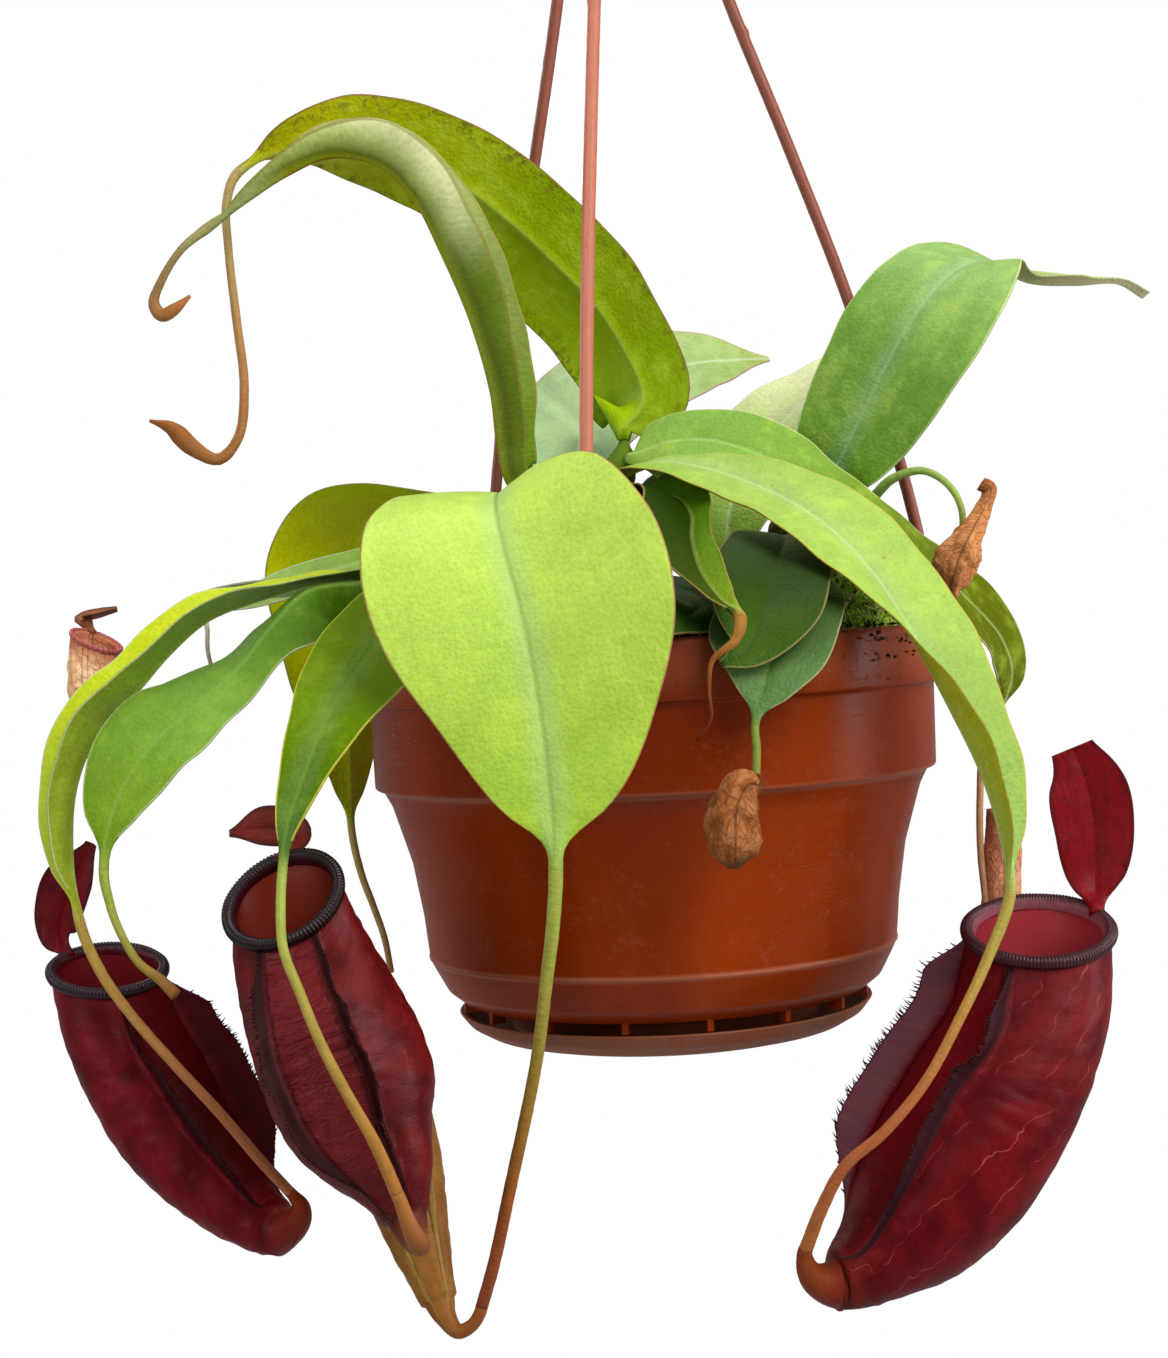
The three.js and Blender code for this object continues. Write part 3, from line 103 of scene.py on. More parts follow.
# A route runs from the stem to the leaf's tip, and a tendril goes on from there. face is where
# the upper side looks. width is half the blade's width and fold how far that half is folded up,
# in degrees. The right half has its own where they are named. All are at even steps from base
# to tip. stalk is the share of the leaf over which its stalk turns from round to flat.
LEAVES = {
    "leaf_back_arch": {
        "route": ((-3.6, 2, 48.5), (-3.4, 2.2, 50.5), (0.4, 4, 54.5), (2, 6, 59), (0, 9, 66),
            (-8, 13, 81), (-18, 15, 93), (-30, 14, 105), (-43, 11, 115), (-58, 6, 121),
            (-77, -3, 122), (-92, -12, 115)),
        "width": (7, 12, 13, 14.5, 15, 15, 14.5, 14.5, 13, 8, 0.8),
        "right_width": (17, 19, 20, 20, 19, 16, 14.5, 14.5, 13, 8, 0.8),
        "face": ((0.5, 0.8, 0.2), (0.4, 0.85, 0.3), (0.1, 0.85, 0.5), (0, 0.7, 0.7),
            (-0.2, 0.4, 0.9)),
        "fold": (14, 12, 10, 14, 30),
        "right_fold": (14, 12, 10, 18, 34),
        "tendril": ((-95, -13, 108), (-95, -14, 96), (-94, -14, 80), (-93, -14, 64),
            (-95, -14, 52), (-100, -14, 47), (-106, -14, 50), (-111, -14, 55),
            (-116, -14, 57)),
        "tendril_radius": (1.2, 1.05, 1, 1, 1.05, 1.05, 1.1, 1.15, 1.2, 1.6, 2.2, 0.4),
        "stalk": 0.05,
    },
    "leaf_left_arch": {
        "route": (*on_stem(MAIN_STEM, 34, 205), (-24, -4, 33), (-31, -8, 38), (-33, -9, 47),
            (-34, -11, 60), (-38, -13, 77), (-44, -15, 93), (-50, -17, 106), (-58, -18, 114),
            (-69, -20, 116), (-79, -22, 112), (-89, -23, 106), (-98, -24, 100)),
        "width": (4, 8.5, 10, 11, 13, 14, 13.5, 12, 8, 4, 0.8),
        "face": ((0.3, 0.1, 1), (0.95, -0.15, 0.2), (0.95, -0.2, 0.25), (0.75, -0.15, 0.6),
            (0, -0.15, 1), (-0.3, -0.1, 0.9)),
        "fold": (20, 45, 52, 55, 55, 40),
        "tendril": ((-104, -26, 95), (-109, -26, 88), (-111, -26, 83), (-109, -27, 80),
            (-106, -28, 81), (-102, -28, 84)),
        "tendril_radius": (1.2, 1, 0.9, 0.95, 1.1, 1.5, 1.4, 0.4),
        "bend": 1.9,
    },
    "leaf_front": {
        "route": (*on_stem(MAIN_STEM, 31, -115), (-22, -20, 32), (-30, -42, 33.5),
            (-31.5, -58, 32.5), (-31, -69, 28), (-29, -78, 19.5), (-26, -84.5, 8),
            (-23.5, -89, -6), (-21.5, -92, -26), (-21, -94, -45)),
        "width": (2, 2.5, 3.5, 4.5, 9, 26, 32.5, 31.5, 24.5, 15.5, 0.9),
        "right_width": (2, 2.5, 4, 10, 22, 29, 31, 28.5, 21.5, 13, 0.9),
        "face": ((0, -0.1, 1), (0, -0.1, 1), (0, -0.6, 0.8), (0, -0.9, 0.4), (0, -1, 0.15)),
        "fold": (10, 20, 38, 22, 7, 6),
        "right_fold": (0, 0, 2, 0, 3, 6),
        "tendril": ((-22, -95, -56), (-24, -94, -68), (-27, -93, -85), (-34, -91, -112),
            (-38, -90, -127), (-41, -89, -136)),
        "tendril_radius": (1.5, 1.3, 1.3, 1.3),
        "stalk": 0.2,
    },
    "leaf_right_arch": {
        "route": (*on_stem(MAIN_STEM, 39, -85), (3, -14, 41), (13, -22, 39), (27, -32, 33),
            (40, -42, 24), (50, -50, 12), (58, -57, -3), (65, -63, -19), (70, -67, -32),
            (73, -70, -45), (74, -72, -57)),
        "width": (3, 4, 8, 12.5, 14, 14.5, 14.5, 13.5, 11, 7, 0.9),
        "right_width": (5, 8, 10.5, 12.5, 14, 14.5, 14.5, 13.5, 11, 7, 0.9),
        "face": ((0.1, -0.4, 0.9), (0.15, -0.55, 0.8), (0.4, -0.6, 0.7), (0.8, -0.5, 0.4),
            (0.9, -0.42, 0.15)),
        "fold": (6, 8, 14, 38, 46),
        "right_fold": (6, 8, 14, 40, 48),
        "tendril": ((68, -75, -71), (62, -79, -81), (53, -82, -95), (44, -82, -105),
            (36, -80, -112), (31, -75, -122), (27.6, -68, -132.6)),
        "tendril_radius": (1.3, 1.1, 1.2, 1.5),
        "stalk": 0.06,
    },
    "leaf_right_low": {
        "route": (*on_stem(MAIN_STEM, 43, -60), (6, -5.4, 46), (17, -7.5, 46), (28, -10, 42),
            (40, -13, 35), (54, -13, 26), (66, -7.5, 16), (77, 0, 5.5), (86, 5, -5),
            (88.5, 7, -14), (85, 8, -23)),
        "width": (5, 8.5, 10, 10, 8, 6.5, 7.5, 10, 10.5, 7, 0.8),
        "right_width": (8, 17, 17, 13, 10, 9.5, 9, 12, 13, 9, 0.8),
        "face": ((0, -0.75, 0.65), (0.1, -0.8, 0.6), (0.3, -0.6, 0.7), (0.62, -0.55, 0.55),
            (0.65, -0.7, 0.2)),
        "fold": (6, 8, 10, 8, 6),
        "stalk": 0.06,
        "tendril": ((81, 7.5, -32), (79.5, 6.5, -44), (79, 6, -57), (79.5, 5, -70),
            (79, 4, -84), (78.5, 4.5, -91)),
        "tendril_radius": (0.9, 0.8),
    },
    "leaf_upper_right": {
        "route": (*on_stem(SIDE_STEM, 25, -40), (44, 3, 32), (52, 0.5, 46.5), (59.5, -3, 60.5),
            (68, -4, 74), (78, 0, 84), (88, 10, 87), (100, 22, 84), (113, 31, 84),
            (125, 37, 84.5), (132, 41, 81)),
        "width": (2, 10.5, 16, 17.5, 18, 17.8, 16.5, 9, 6, 2, 2.4),
        "right_width": (2, 10.5, 17, 21, 23.5, 20.5, 11, 5, 6, 2, 2.4),
        "face": ((-0.5, -0.8, 0.3), (-0.4, -0.8, 0.45), (-0.3, -0.65, 0.7), (0, -0.3, 0.95),
            (0, -0.2, 1)),
        "fold": (8, 6, 6, 20, 30),
    },
    "leaf_pale_back": {
        "route": (*on_stem(SIDE_STEM, 13, 165), (22, 13, 17), (21, 14, 24), (23, 16, 33),
            (32, 22, 47), (46, 29, 60), (59, 38, 69), (73, 43, 72)),
        "width": (2, 6, 11, 13, 13, 12, 9, 4.5, 0.7),
        "face": ((0.2, -0.8, 0.4), (-0.2, -0.9, 0.3), (-0.5, -0.7, 0.5), (-0.3, -0.6, 0.75)),
        "fold": (10, 8, 10),
    },
    "leaf_back": {
        "route": (*on_stem(MAIN_STEM, 40, 110), (-16, 17, 42), (-12, 31, 55), (-1, 44, 66),
            (16, 55, 71), (36, 62, 72)),
        "width": (6, 14, 18, 17.5, 15, 10, 0.8),
        "right_width": (2, 8, 15, 17, 15, 10, 0.8),
        "face": ((0, -0.6, 0.8), (0, -0.8, 0.6), (0, -0.75, 0.65)),
        "fold": (10, 8, 10),
    },
    "leaf_left_rear": {
        "route": (*on_stem(MAIN_STEM, 29, 160), (-34, 8, 31), (-52, 14, 33), (-66, 22, 32.5),
            (-75, 29, 22), (-78, 33, 6), (-79, 35, -12), (-79, 34, -32), (-79, 32, -47)),
        "width": (2, 5, 12, 21, 25, 24, 19, 14, 7, 0.8),
        "face": ((0, 0, 1), (-0.2, 0.3, 0.9), (-0.6, 0.65, 0.5), (-0.7, 0.75, 0),
            (-0.7, 0.75, 0)),
        "fold": (6, 4, 4, 4, 6),
        "tendril": ((-77, 31, -58), (-74, 28, -66), (-71, 24, -74), (-69, 18, -82)),
        "tendril_radius": (1, 0.8),
    },
    "leaf_far_left": {
        "route": (*on_stem(MAIN_STEM, 17, 200), (-38, -12, 17), (-57, -22, 17), (-73, -32, 17),
            (-89, -41, 13), (-99, -46, 9), (-107, -50, 2), (-114, -53, -6), (-122, -56, -14),
            (-127.3, -59, -26), (-128.3, -62, -41), (-126.5, -64, -56)),
        "width": (2, 4, 6, 7, 7.5, 8.5, 10, 11, 10.5, 7, 0.8),
        "face": ((0, 0.1, 1), (0, 0, 1), (-0.2, -0.15, 0.95), (-0.6, -0.35, 0.7),
            (-0.9, -0.4, 0.2), (-0.9, -0.4, 0)),
        "fold": (4, 6, 12, 34, 44, 46),
        "tendril": ((-122, -67, -66), (-115, -71, -75), (-106, -74, -85), (-96, -76, -96),
            (-88, -74.5, -107), (-82.6, -71, -115)),
        "tendril_radius": (1.2, 1.1, 1.2),
    },
    "leaf_twisted_left": {
        "route": (*on_stem(MAIN_STEM, 14, 222), (-36, -18, 13), (-54, -30, 14),
            (-66, -39, 15.5), (-76, -46, 14), (-83, -52, 7), (-90, -57, -2), (-99, -62, -10),
            (-108, -67, -18), (-115, -71, -29), (-118, -75, -43)),
        "width": (2, 5, 8, 8, 13, 17, 8, 8, 11, 8.5, 0.8),
        "right_width": (2, 4, 6, 8, 9, 8.5, 9.5, 13.5, 15, 10, 0.8),
        "face": ((0, -0.1, 1), (0, -0.2, 1), (-0.2, -0.35, 0.9), (-0.8, -0.5, 0.3),
            (-0.45, -0.85, 0.3), (-0.35, -0.9, 0.2)),
        "fold": (0, -25, -58, -48, 0, 8),
        "right_fold": (0, -6, -14, 0, 0, 8),
        "tendril": ((-117, -76, -50), (-115, -77, -56), (-111, -78, -63), (-106, -79, -67),
            (-103, -80, -70)),
        "tendril_radius": (1.1, 0.9, 0.9, 1.3),
    },
    "leaf_lower_left": {
        "route": (*on_stem(MAIN_STEM, 24, 240), (-30, -24, 21), (-43, -42, 17), (-54, -57, 8),
            (-62, -69, -3), (-68, -81, -14), (-72, -90, -25), (-75, -96, -35),
            (-76, -99, -43)),
        "width": (2, 4, 8, 14, 17, 17, 14.5, 9.5, 5, 0.8),
        "right_width": (2, 4, 7, 9, 11, 12.5, 11.5, 8, 4.5, 0.8),
        "face": ((0, -0.1, 1), (-0.1, -0.6, 0.8), (-0.25, -0.85, 0.5), (-0.35, -0.85, 0.35)),
        "fold": (4, 4, 6, 12),
        "tendril": ((-76, -103, -49), (-75, -109, -57), (-71.2, -115, -65), (-67.2, -119, -74),
            (-62.2, -121, -84), (-57.2, -121, -94), (-53.6, -120, -104)),
        "tendril_radius": (1, 1, 1.1, 1.3),
    },
    "leaf_small_left": {
        "route": (*on_stem(MAIN_STEM, 20, 183), (-40, -1, 13.5), (-59, -7, 12), (-76, -12, 14),
            (-94, -18, 14), (-107, -24, 12), (-114, -28, 8)),
        "width": (1.6, 4, 6.5, 7.5, 7.5, 6, 0.7),
        "face": ((0, 0, 1), (0, 0.1, 1), (-0.3, 0, 0.9)),
        "fold": (8, 14, 30),
        "tendril": ((-118, -31, 1), (-120, -34, -9), (-122, -36, -19), (-124, -38, -27)),
        "tendril_radius": (0.8, 0.8),
    },
    "leaf_tip_left": {
        "route": (*on_stem(MAIN_STEM, 25, 178), (-36, 4, 24.5), (-58, 4, 23.5), (-77, 4, 19.5),
            (-95, 2, 14), (-107, -1, 10)),
        "width": (1.6, 2.2, 2.4, 2.6, 3.6, 0.7),
        "right_width": (1.6, 3, 3.6, 4, 4.6, 0.7),
        "face": ((0, -0.2, 1), (-0.1, -0.8, 0.6), (-0.2, -0.9, 0.3)),
        "fold": (8, 8, 8),
        "tendril": ((-107, -3, 6), (-107, -4, 2), (-106, -5, -3)),
        "tendril_radius": (0.6, 0.5),
    },
    "leaf_young_curled": {
        "route": (*on_stem(MAIN_STEM, 31, -70), (1, -16, 32), (8, -26, 31.5), (11, -34, 27.5),
            (10.7, -50, 20.9), (12, -63.5, 13.8), (15.4, -75, 7.8), (19.2, -84, 3.4)),
        "width": (8, 9, 8, 5, 5, 5.5, 4, 0.9),
        "right_width": (5, 7, 11, 13, 13, 11, 6, 0.9),
        "face": ((0.1, -0.3, 0.9), (0.25, -0.6, 0.75), (0.35, -0.85, 0.4)),
        "fold": (48, 46, 42, 35),
        "right_fold": (38, 24, 16, 20),
        "stalk": 0.04,
        "tendril": ((17.8, -87, -1), (15, -88, -3), (12.8, -88, -5), (12, -88, -11),
            (12, -88, -17), (9, -88, -21)),
        "tendril_radius": (1.4, 1, 0.6, 0.4, 0.35, 0.3),
    },
    "leaf_young_round": {
        "route": (*on_stem(SIDE_STEM, 20, -110), (32.5, -18, 22), (32, -36, 20),
            (28, -54, 13.5), (25, -68, 5), (20.5, -76.5, -3.5), (15, -79, -6)),
        "width": (1.6, 3, 8, 12, 13, 11, 0.9),
        "face": ((0, -0.2, 1), (0.1, -0.4, 0.9), (0.1, -0.9, 0.4)),
        "fold": (6, 10, 6),
    },
    "leaf_young_front": {
        "route": (*on_stem(SIDE_STEM, 14, -95), (32, -18, 13), (33, -38, 11), (32, -54, 7),
            (27.5, -67, -1.5), (24.5, -74.5, -10), (21.5, -77.5, -19)),
        "width": (1.6, 3, 6, 10, 12, 11, 0.9),
        "right_width": (1.6, 3, 6, 10, 13, 14, 0.9),
        "face": ((0, -0.2, 1), (0.1, -0.5, 0.8), (0.1, -0.9, 0.4)),
        "fold": (6, 8, 6),
        "tendril": ((21.5, -79.5, -24), (21, -81, -29.5)),
        "tendril_radius": (0.9, 0.9),
    },
    "leaf_young_dark": {
        "route": (*on_stem(MAIN_STEM, 16, -60), (-2, -22, 14), (6, -40, 11), (11.5, -52, 8.5),
            (11, -62, 5.5), (6, -70, 3.5), (0, -75, 0.5)),
        "width": (1.6, 3, 5, 7, 7.5, 6, 0.8),
        "face": ((0, -0.1, 1), (0.1, -0.4, 0.9), (0.2, -0.9, 0.4)),
        "fold": (4, 6, 6),
    },
    "leaf_narrow_right": {
        "route": (*on_stem(SIDE_STEM, 22, -5), (43, 3.5, 22.5), (49, -2, 25), (55, -5, 30)),
        "width": (1.6, 2.6, 2.4, 1.2),
        "face": ((0, -0.4, 0.9), (0, -0.6, 0.8)),
        "fold": (10, 10),
        "tendril": ((60, -9.5, 34.6), (66.8, -13, 35.9), (72.2, -15, 32.3), (75, -16, 26.4),
            (74.8, -14, 17.6), (73.6, -13.5, 10), (72.2, -15.5, 7)),
        "tendril_radius": (1.3, 0.9, 0.8, 0.8),
        "stalk": 0.3,
    },
}

PITCHERS = {
    "pitcher_left": {
        "hangs_from": "leaf_far_left",
        "tail": ((-80.8, -69, -118.6), (-81.7, -67, -121.8), (-84.5, -64.5, -124.2)),
        "tail_radius": (1.2, 2.4, 4.2, 6.8),
        "axis": ((-88.5, -61.5, -124.8), (-95, -58, -121), (-102.5, -54, -114.5),
            (-111, -50, -105), (-117.5, -47, -94), (-123, -45, -81.5), (-126, -44, -70)),
        "width": (7, 10, 12.4, 13.8, 14.4, 14.2, 13.4),
        "front": (0.866, -0.5, 0.1),
        "mouth": (0.14, -0.25, 0.96),
        "lip": 1.4,
        "wing": 8.5,
        "lid": {
            "route": ((-138.5, -37, -62), (-135.5, -37.5, -52), (-129.5, -37.5, -41)),
            "width": (1.8, 6.5, 6.5, 1.5), "face": ((-0.2, -0.9, 0.2), (-0.2, -0.9, 0.2)),
            "fold": (20, 20), "petiole": 1.4,
        },
    },
    "pitcher_front_left": {
        "hangs_from": "leaf_lower_left",
        "tail": ((-51.5, -119, -111), (-50.3, -116.4, -115), (-51.6, -112.8, -114.6)),
        "tail_radius": (1.3, 1.7, 2.6, 4.2),
        "wing_angle": 29,
        "axis": ((-53.3, -109.4, -111), (-56, -107.5, -104), (-61, -104.5, -94),
            (-65, -101, -83), (-70, -98, -71), (-74, -95, -61), (-77, -91.5, -50)),
        "width": (5.2, 11, 16.2, 17.2, 16, 14.2, 12.4),
        "front": (-0.13, -0.99, 0),
        "mouth": (-0.27, -0.68, 0.68),
        "lip": 1.6,
        "wing": 4,
        "lid": {
            "route": ((-75.5, -81.5, -37.5), (-81, -80, -35.5), (-90, -79, -36.5)),
            "width": (1.6, 4, 4.5, 0.8), "face": ((0, -0.9, 0.4), (-0.1, -0.9, 0.4)),
            "fold": (20, 20), "petiole": 1.4,
        },
    },
    "pitcher_right": {
        "hangs_from": "leaf_right_arch",
        "tail": ((27.8, -66, -137.5), (30, -64.2, -140.6), (34, -62.4, -142)),
        "tail_radius": (1.5, 2.9, 5.4, 8.8),
        "axis": ((38.5, -60.5, -140.5), (49, -58, -132.5), (62.2, -55, -117.5),
            (73.2, -51, -102), (81.2, -48, -85.5), (84, -45, -70.5)),
        "width": (9, 16, 19.6, 20.2, 19.6, 18.5, 17.2),
        "front": (-0.927, -0.375, 0),
        "mouth": (-0.06, -0.28, 0.96),
        "lip": 1.7,
        "wing": 8.5,
        "lid": {
            "route": ((98.8, -35.5, -61), (99.5, -34, -49), (98, -33, -37), (95.5, -32, -30)),
            "width": (1.6, 7, 9, 9, 5), "face": ((-0.2, -0.9, 0.2), (-0.2, -0.9, 0.2)),
            "fold": (14, 10), "petiole": 1.8,
        },
    },
    "pitcher_behind": {
        "hangs_from": "leaf_front",
        "tail": ((-43.3, -88.5, -140), (-46.4, -87.5, -141.4), (-49, -85.5, -138.8)),
        "tail_radius": (1.3, 1.4, 2, 3.3),
        "axis": ((-50.4, -83.5, -135.8), (-53, -80.5, -128.5), (-56, -76.5, -119),
            (-59, -72, -107), (-63, -69, -93), (-68, -67, -79), (-72, -66, -68),
            (-75, -66, -58)),
        "width": (4, 6.4, 8.4, 9.4, 9.2, 9.2, 9.8, 9.5),
        "front": (0.2, -0.95, 0),
        "mouth": (0.3, -0.3, 0.9),
        "lip": 1.2,
        "wing": 1.2,
    },
    "pitcher_dry_left": {
        "hangs_from": "leaf_small_left",
        "tail": ((-125.5, -38.5, -29.5), (-126.5, -37.5, -28), (-127, -36, -25)),
        "tail_radius": (0.8, 1.6),
        "axis": ((-127.5, -35, -22), (-128, -35, -16), (-128, -34.5, -8), (-127.5, -34, 0),
            (-127, -34, 5)),
        "width": (2.4, 4.2, 5.6, 6.2, 6),
        "front": (0.5, -0.8, 0),
        "mouth": (0.45, -0.2, 0.88),
        "lip": 0.6,
        "cup_bottom": 0.3,
        "lid": {
            "route": ((-131, -28.5, 10.5), (-127, -28.5, 11.5), (-123, -28.5, 12.5)),
            "width": (1.2, 2.2, 2, 1), "face": ((0, -0.4, 1), (0, -0.4, 1)),
            "fold": (25, 25), "petiole": 1,
        },
    },
}

BAGS = {
    "pitcher_dry_front": {
        "hangs_from": "leaf_young_front",
        "axis": ((18, -84, -31.5), (16, -84.5, -36), (15.5, -84.5, -42), (15.5, -84, -48)),
        "width": (1.2, 2.8, 4, 4.8, 5.2, 5.4, 5.2, 4.3, 1.4),
    },
    "pitcher_dry_right": {
        "hangs_from": "leaf_narrow_right",
        "axis": ((71, -20, 8), (73, -21.5, 14.8), (76, -22, 20.6), (79, -22, 25.5),
            (80.9, -22, 30.4), (79, -22, 31.8)),
        "width": (0.9, 2.4, 4.4, 4.7, 3.4, 2.2, 1.6, 1.5),
        "crease": 0.14,
    },
    "pitcher_dry_rear": {
        "hangs_from": "leaf_right_low",
        "axis": ((80, 5, -93.4), (82, 6, -90), (83.5, 7, -76), (84.5, 8, -62), (85, 8, -47)),
        "width": (0.8, 1.2, 3.6, 4.8, 4.8, 4.4, 3.6),
        "crease": 0.05,
    },
}


# Shapes


def tone(code):
    """A colour written in hexadecimal, as the shader's own linear numbers."""
    parts = [int(code[i:i + 2], 16) / 255 for i in (1, 3, 5)]
    return tuple(p / 12.92 if p <= 0.04045 else ((p + 0.055) / 1.055) ** 2.4 for p in parts)


def ease(value, low, high):
    """A smooth step from 0 at low to 1 at high."""
    share = min(max((value - low) / (high - low), 0.0), 1.0)
    return share * share * (3 - 2 * share)


def unit(vector):
    """The same direction, one unit long."""
    return vector / max(np.linalg.norm(vector), 1e-9)


def even_angles(count):
    """Even angles round a circle."""
    return [2 * math.pi * i / count for i in range(count)]


def curved(here, after, rise, fall, part):
    """A smooth step from one value to the next that leaves and arrives at these slopes."""
    cubic = 2 * here - 2 * after + rise + fall
    square = 3 * after - 3 * here - 2 * rise - fall
    return cubic * part**3 + square * part**2 + rise * part + here


def along(values, share):
    """A smooth reading of a short list at a share of its length."""
    values = [np.asarray(value, float) for value in values]
    last = len(values) - 1
    position = min(max(share, 0.0), 1.0) * last
    index = int(position)
    part = position - index
    before = values[max(index - 1, 0)]
    here = values[index]
    after = values[min(index + 1, last)]
    beyond = values[min(index + 2, last)]
    return curved(here, after, (after - before) / 2, (beyond - here) / 2, part)


ROUTE_SAMPLES = 240


class Route:
    """A smooth line through points, with even places along any stretch of it."""

    def __init__(self, points):
        self.points = [np.asarray(point, float) for point in points]
        self.last = len(self.points) - 1

    def point(self, share):
        position = min(max(share, 0.0), 1.0) * self.last
        index = min(int(position), self.last - 1)
        part = position - index
        here, after = self.points[index], self.points[index + 1]
        before = self.points[index - 1] if index > 0 else 2 * here - after
        beyond = self.points[index + 2] if index + 2 <= self.last else 2 * after - here
        line = (before, here, after, beyond)
        gaps = [math.sqrt(max(np.linalg.norm(line[i + 1] - line[i]), 1e-6)) for i in range(3)]
        rise = (here - before) / gaps[0] - (after - before) / (gaps[0] + gaps[1])
        rise = (rise + (after - here) / gaps[1]) * gaps[1]
        fall = (after - here) / gaps[1] - (beyond - here) / (gaps[1] + gaps[2])
        fall = (fall + (beyond - after) / gaps[2]) * gaps[1]
        return curved(here, after, rise, fall, part)

    def direction(self, share):
        return unit(self.point(share + 0.0001) - self.point(share - 0.0001))

    def places(self, start, end, steps):
        """Share, point, direction and distance at even steps between two of its points."""
        shares = np.linspace(start / self.last, end / self.last, ROUTE_SAMPLES)
        points = np.array([self.point(share) for share in shares])
        gaps = np.linalg.norm(np.diff(points, axis=0), axis=1)
        distances = np.concatenate([[0], np.cumsum(gaps)])
        wanted = np.linspace(0, distances[-1], steps + 1)
        at = np.interp(wanted, distances, shares)
        return [
            (i / steps, self.point(at[i]), self.direction(at[i]), wanted[i])
            for i in range(steps + 1)
        ]


def in_model(points):
    """Millimetres from the rim's middle, as metres from the hook's seat."""
    return (np.asarray(points, float) - (0, 0, HOOK_SEAT)) * MILLIMETRE


def ring_faces(rows, columns):
    """The four-sided faces between rings of equal count."""
    faces = []
    for row in range(rows - 1):
        for column in range(columns):
            beside = (column + 1) % columns
            faces.append((
                row * columns + column,
                row * columns + beside,
                (row + 1) * columns + beside,
                (row + 1) * columns + column,
            ))
    return faces


def make_piece(name, points, faces, finish, readings=None, flat=False):
    """A mesh piece of the plant in the model's frame, with readings kept on its points."""
    mesh = bpy.data.meshes.new(name)
    mesh.from_pydata([tuple(point) for point in in_model(points)], [], faces)
    for key, values in (readings or {}).items():
        layer = mesh.attributes.new(key, "FLOAT_VECTOR", "POINT")
        layer.data.foreach_set("vector", np.asarray(values, np.float32).ravel())
    mesh.polygons.foreach_set("use_smooth", [not flat] * len(mesh.polygons))
    mesh.materials.append(finish)
    mesh.validate()
    mesh.update()
    piece = bpy.data.objects.new(name, mesh)
    bpy.context.scene.collection.objects.link(piece)
    return piece


def loft(rings, ends=True):
    """Points and faces of a skin over rings of equal count, closed by a fan at each end."""
    rows, columns = len(rings), len(rings[0])
    points = [point for ring in rings for point in ring]
    faces = ring_faces(rows, columns)
    if ends:
        for row in (0, rows - 1):
            start = row * columns
            points.append(np.mean(rings[row], axis=0))
            for column in range(columns):
                pair = [start + column, start + (column + 1) % columns]
                if row == 0:
                    pair.reverse()
                faces.append((len(points) - 1, *pair))
    return points, faces


def ring_reading(count, *values):
    """A reading for each point of a ring, from numbers for all of them or one for each."""
    return np.stack([np.broadcast_to(value, count) for value in values], 1)


def with_ends(readings):
    """The readings of all rings, then of the two points that close the ends."""
    return np.concatenate([*readings, readings[0][:1], readings[-1][:1]])


def settle(piece, slot, *nodes):
    """The piece hangs with the rest and stands for its nodes; slot is not used."""
    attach(piece, "root")
    if nodes:
        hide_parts(*nodes)


# Finishes


class Signal:
    """One output of a shader node, which adds and multiplies the way a number does."""

    def __init__(self, finish, socket):
        self.finish = finish
        self.socket = socket

    def __add__(self, other):
        return self.finish.maths("ADD", self, other)

    def __radd__(self, other):
        return self.finish.maths("ADD", other, self)

    def __sub__(self, other):
        return self.finish.maths("SUBTRACT", self, other)

    def __rsub__(self, other):
        return self.finish.maths("SUBTRACT", other, self)

    def __mul__(self, other):
        return self.finish.maths("MULTIPLY", self, other)

    def __rmul__(self, other):
        return self.finish.maths("MULTIPLY", other, self)

    def __abs__(self):
        return self.finish.maths("ABSOLUTE", self)

    def limited(self):
        """Held between 0 and 1."""
        return self.rising(0, 1, "LINEAR")

    def rising(self, low, high, way="SMOOTHSTEP"):
        """0 below low, 1 above high, and smooth between."""
        values = {0: self, 1: low, 2: high}
        return self.finish.node("ShaderNodeMapRange", {"interpolation_type": way}, values)

    def falling(self, low, high):
        """1 below low, 0 above high, and smooth between."""
        return 1 - self.rising(low, high)


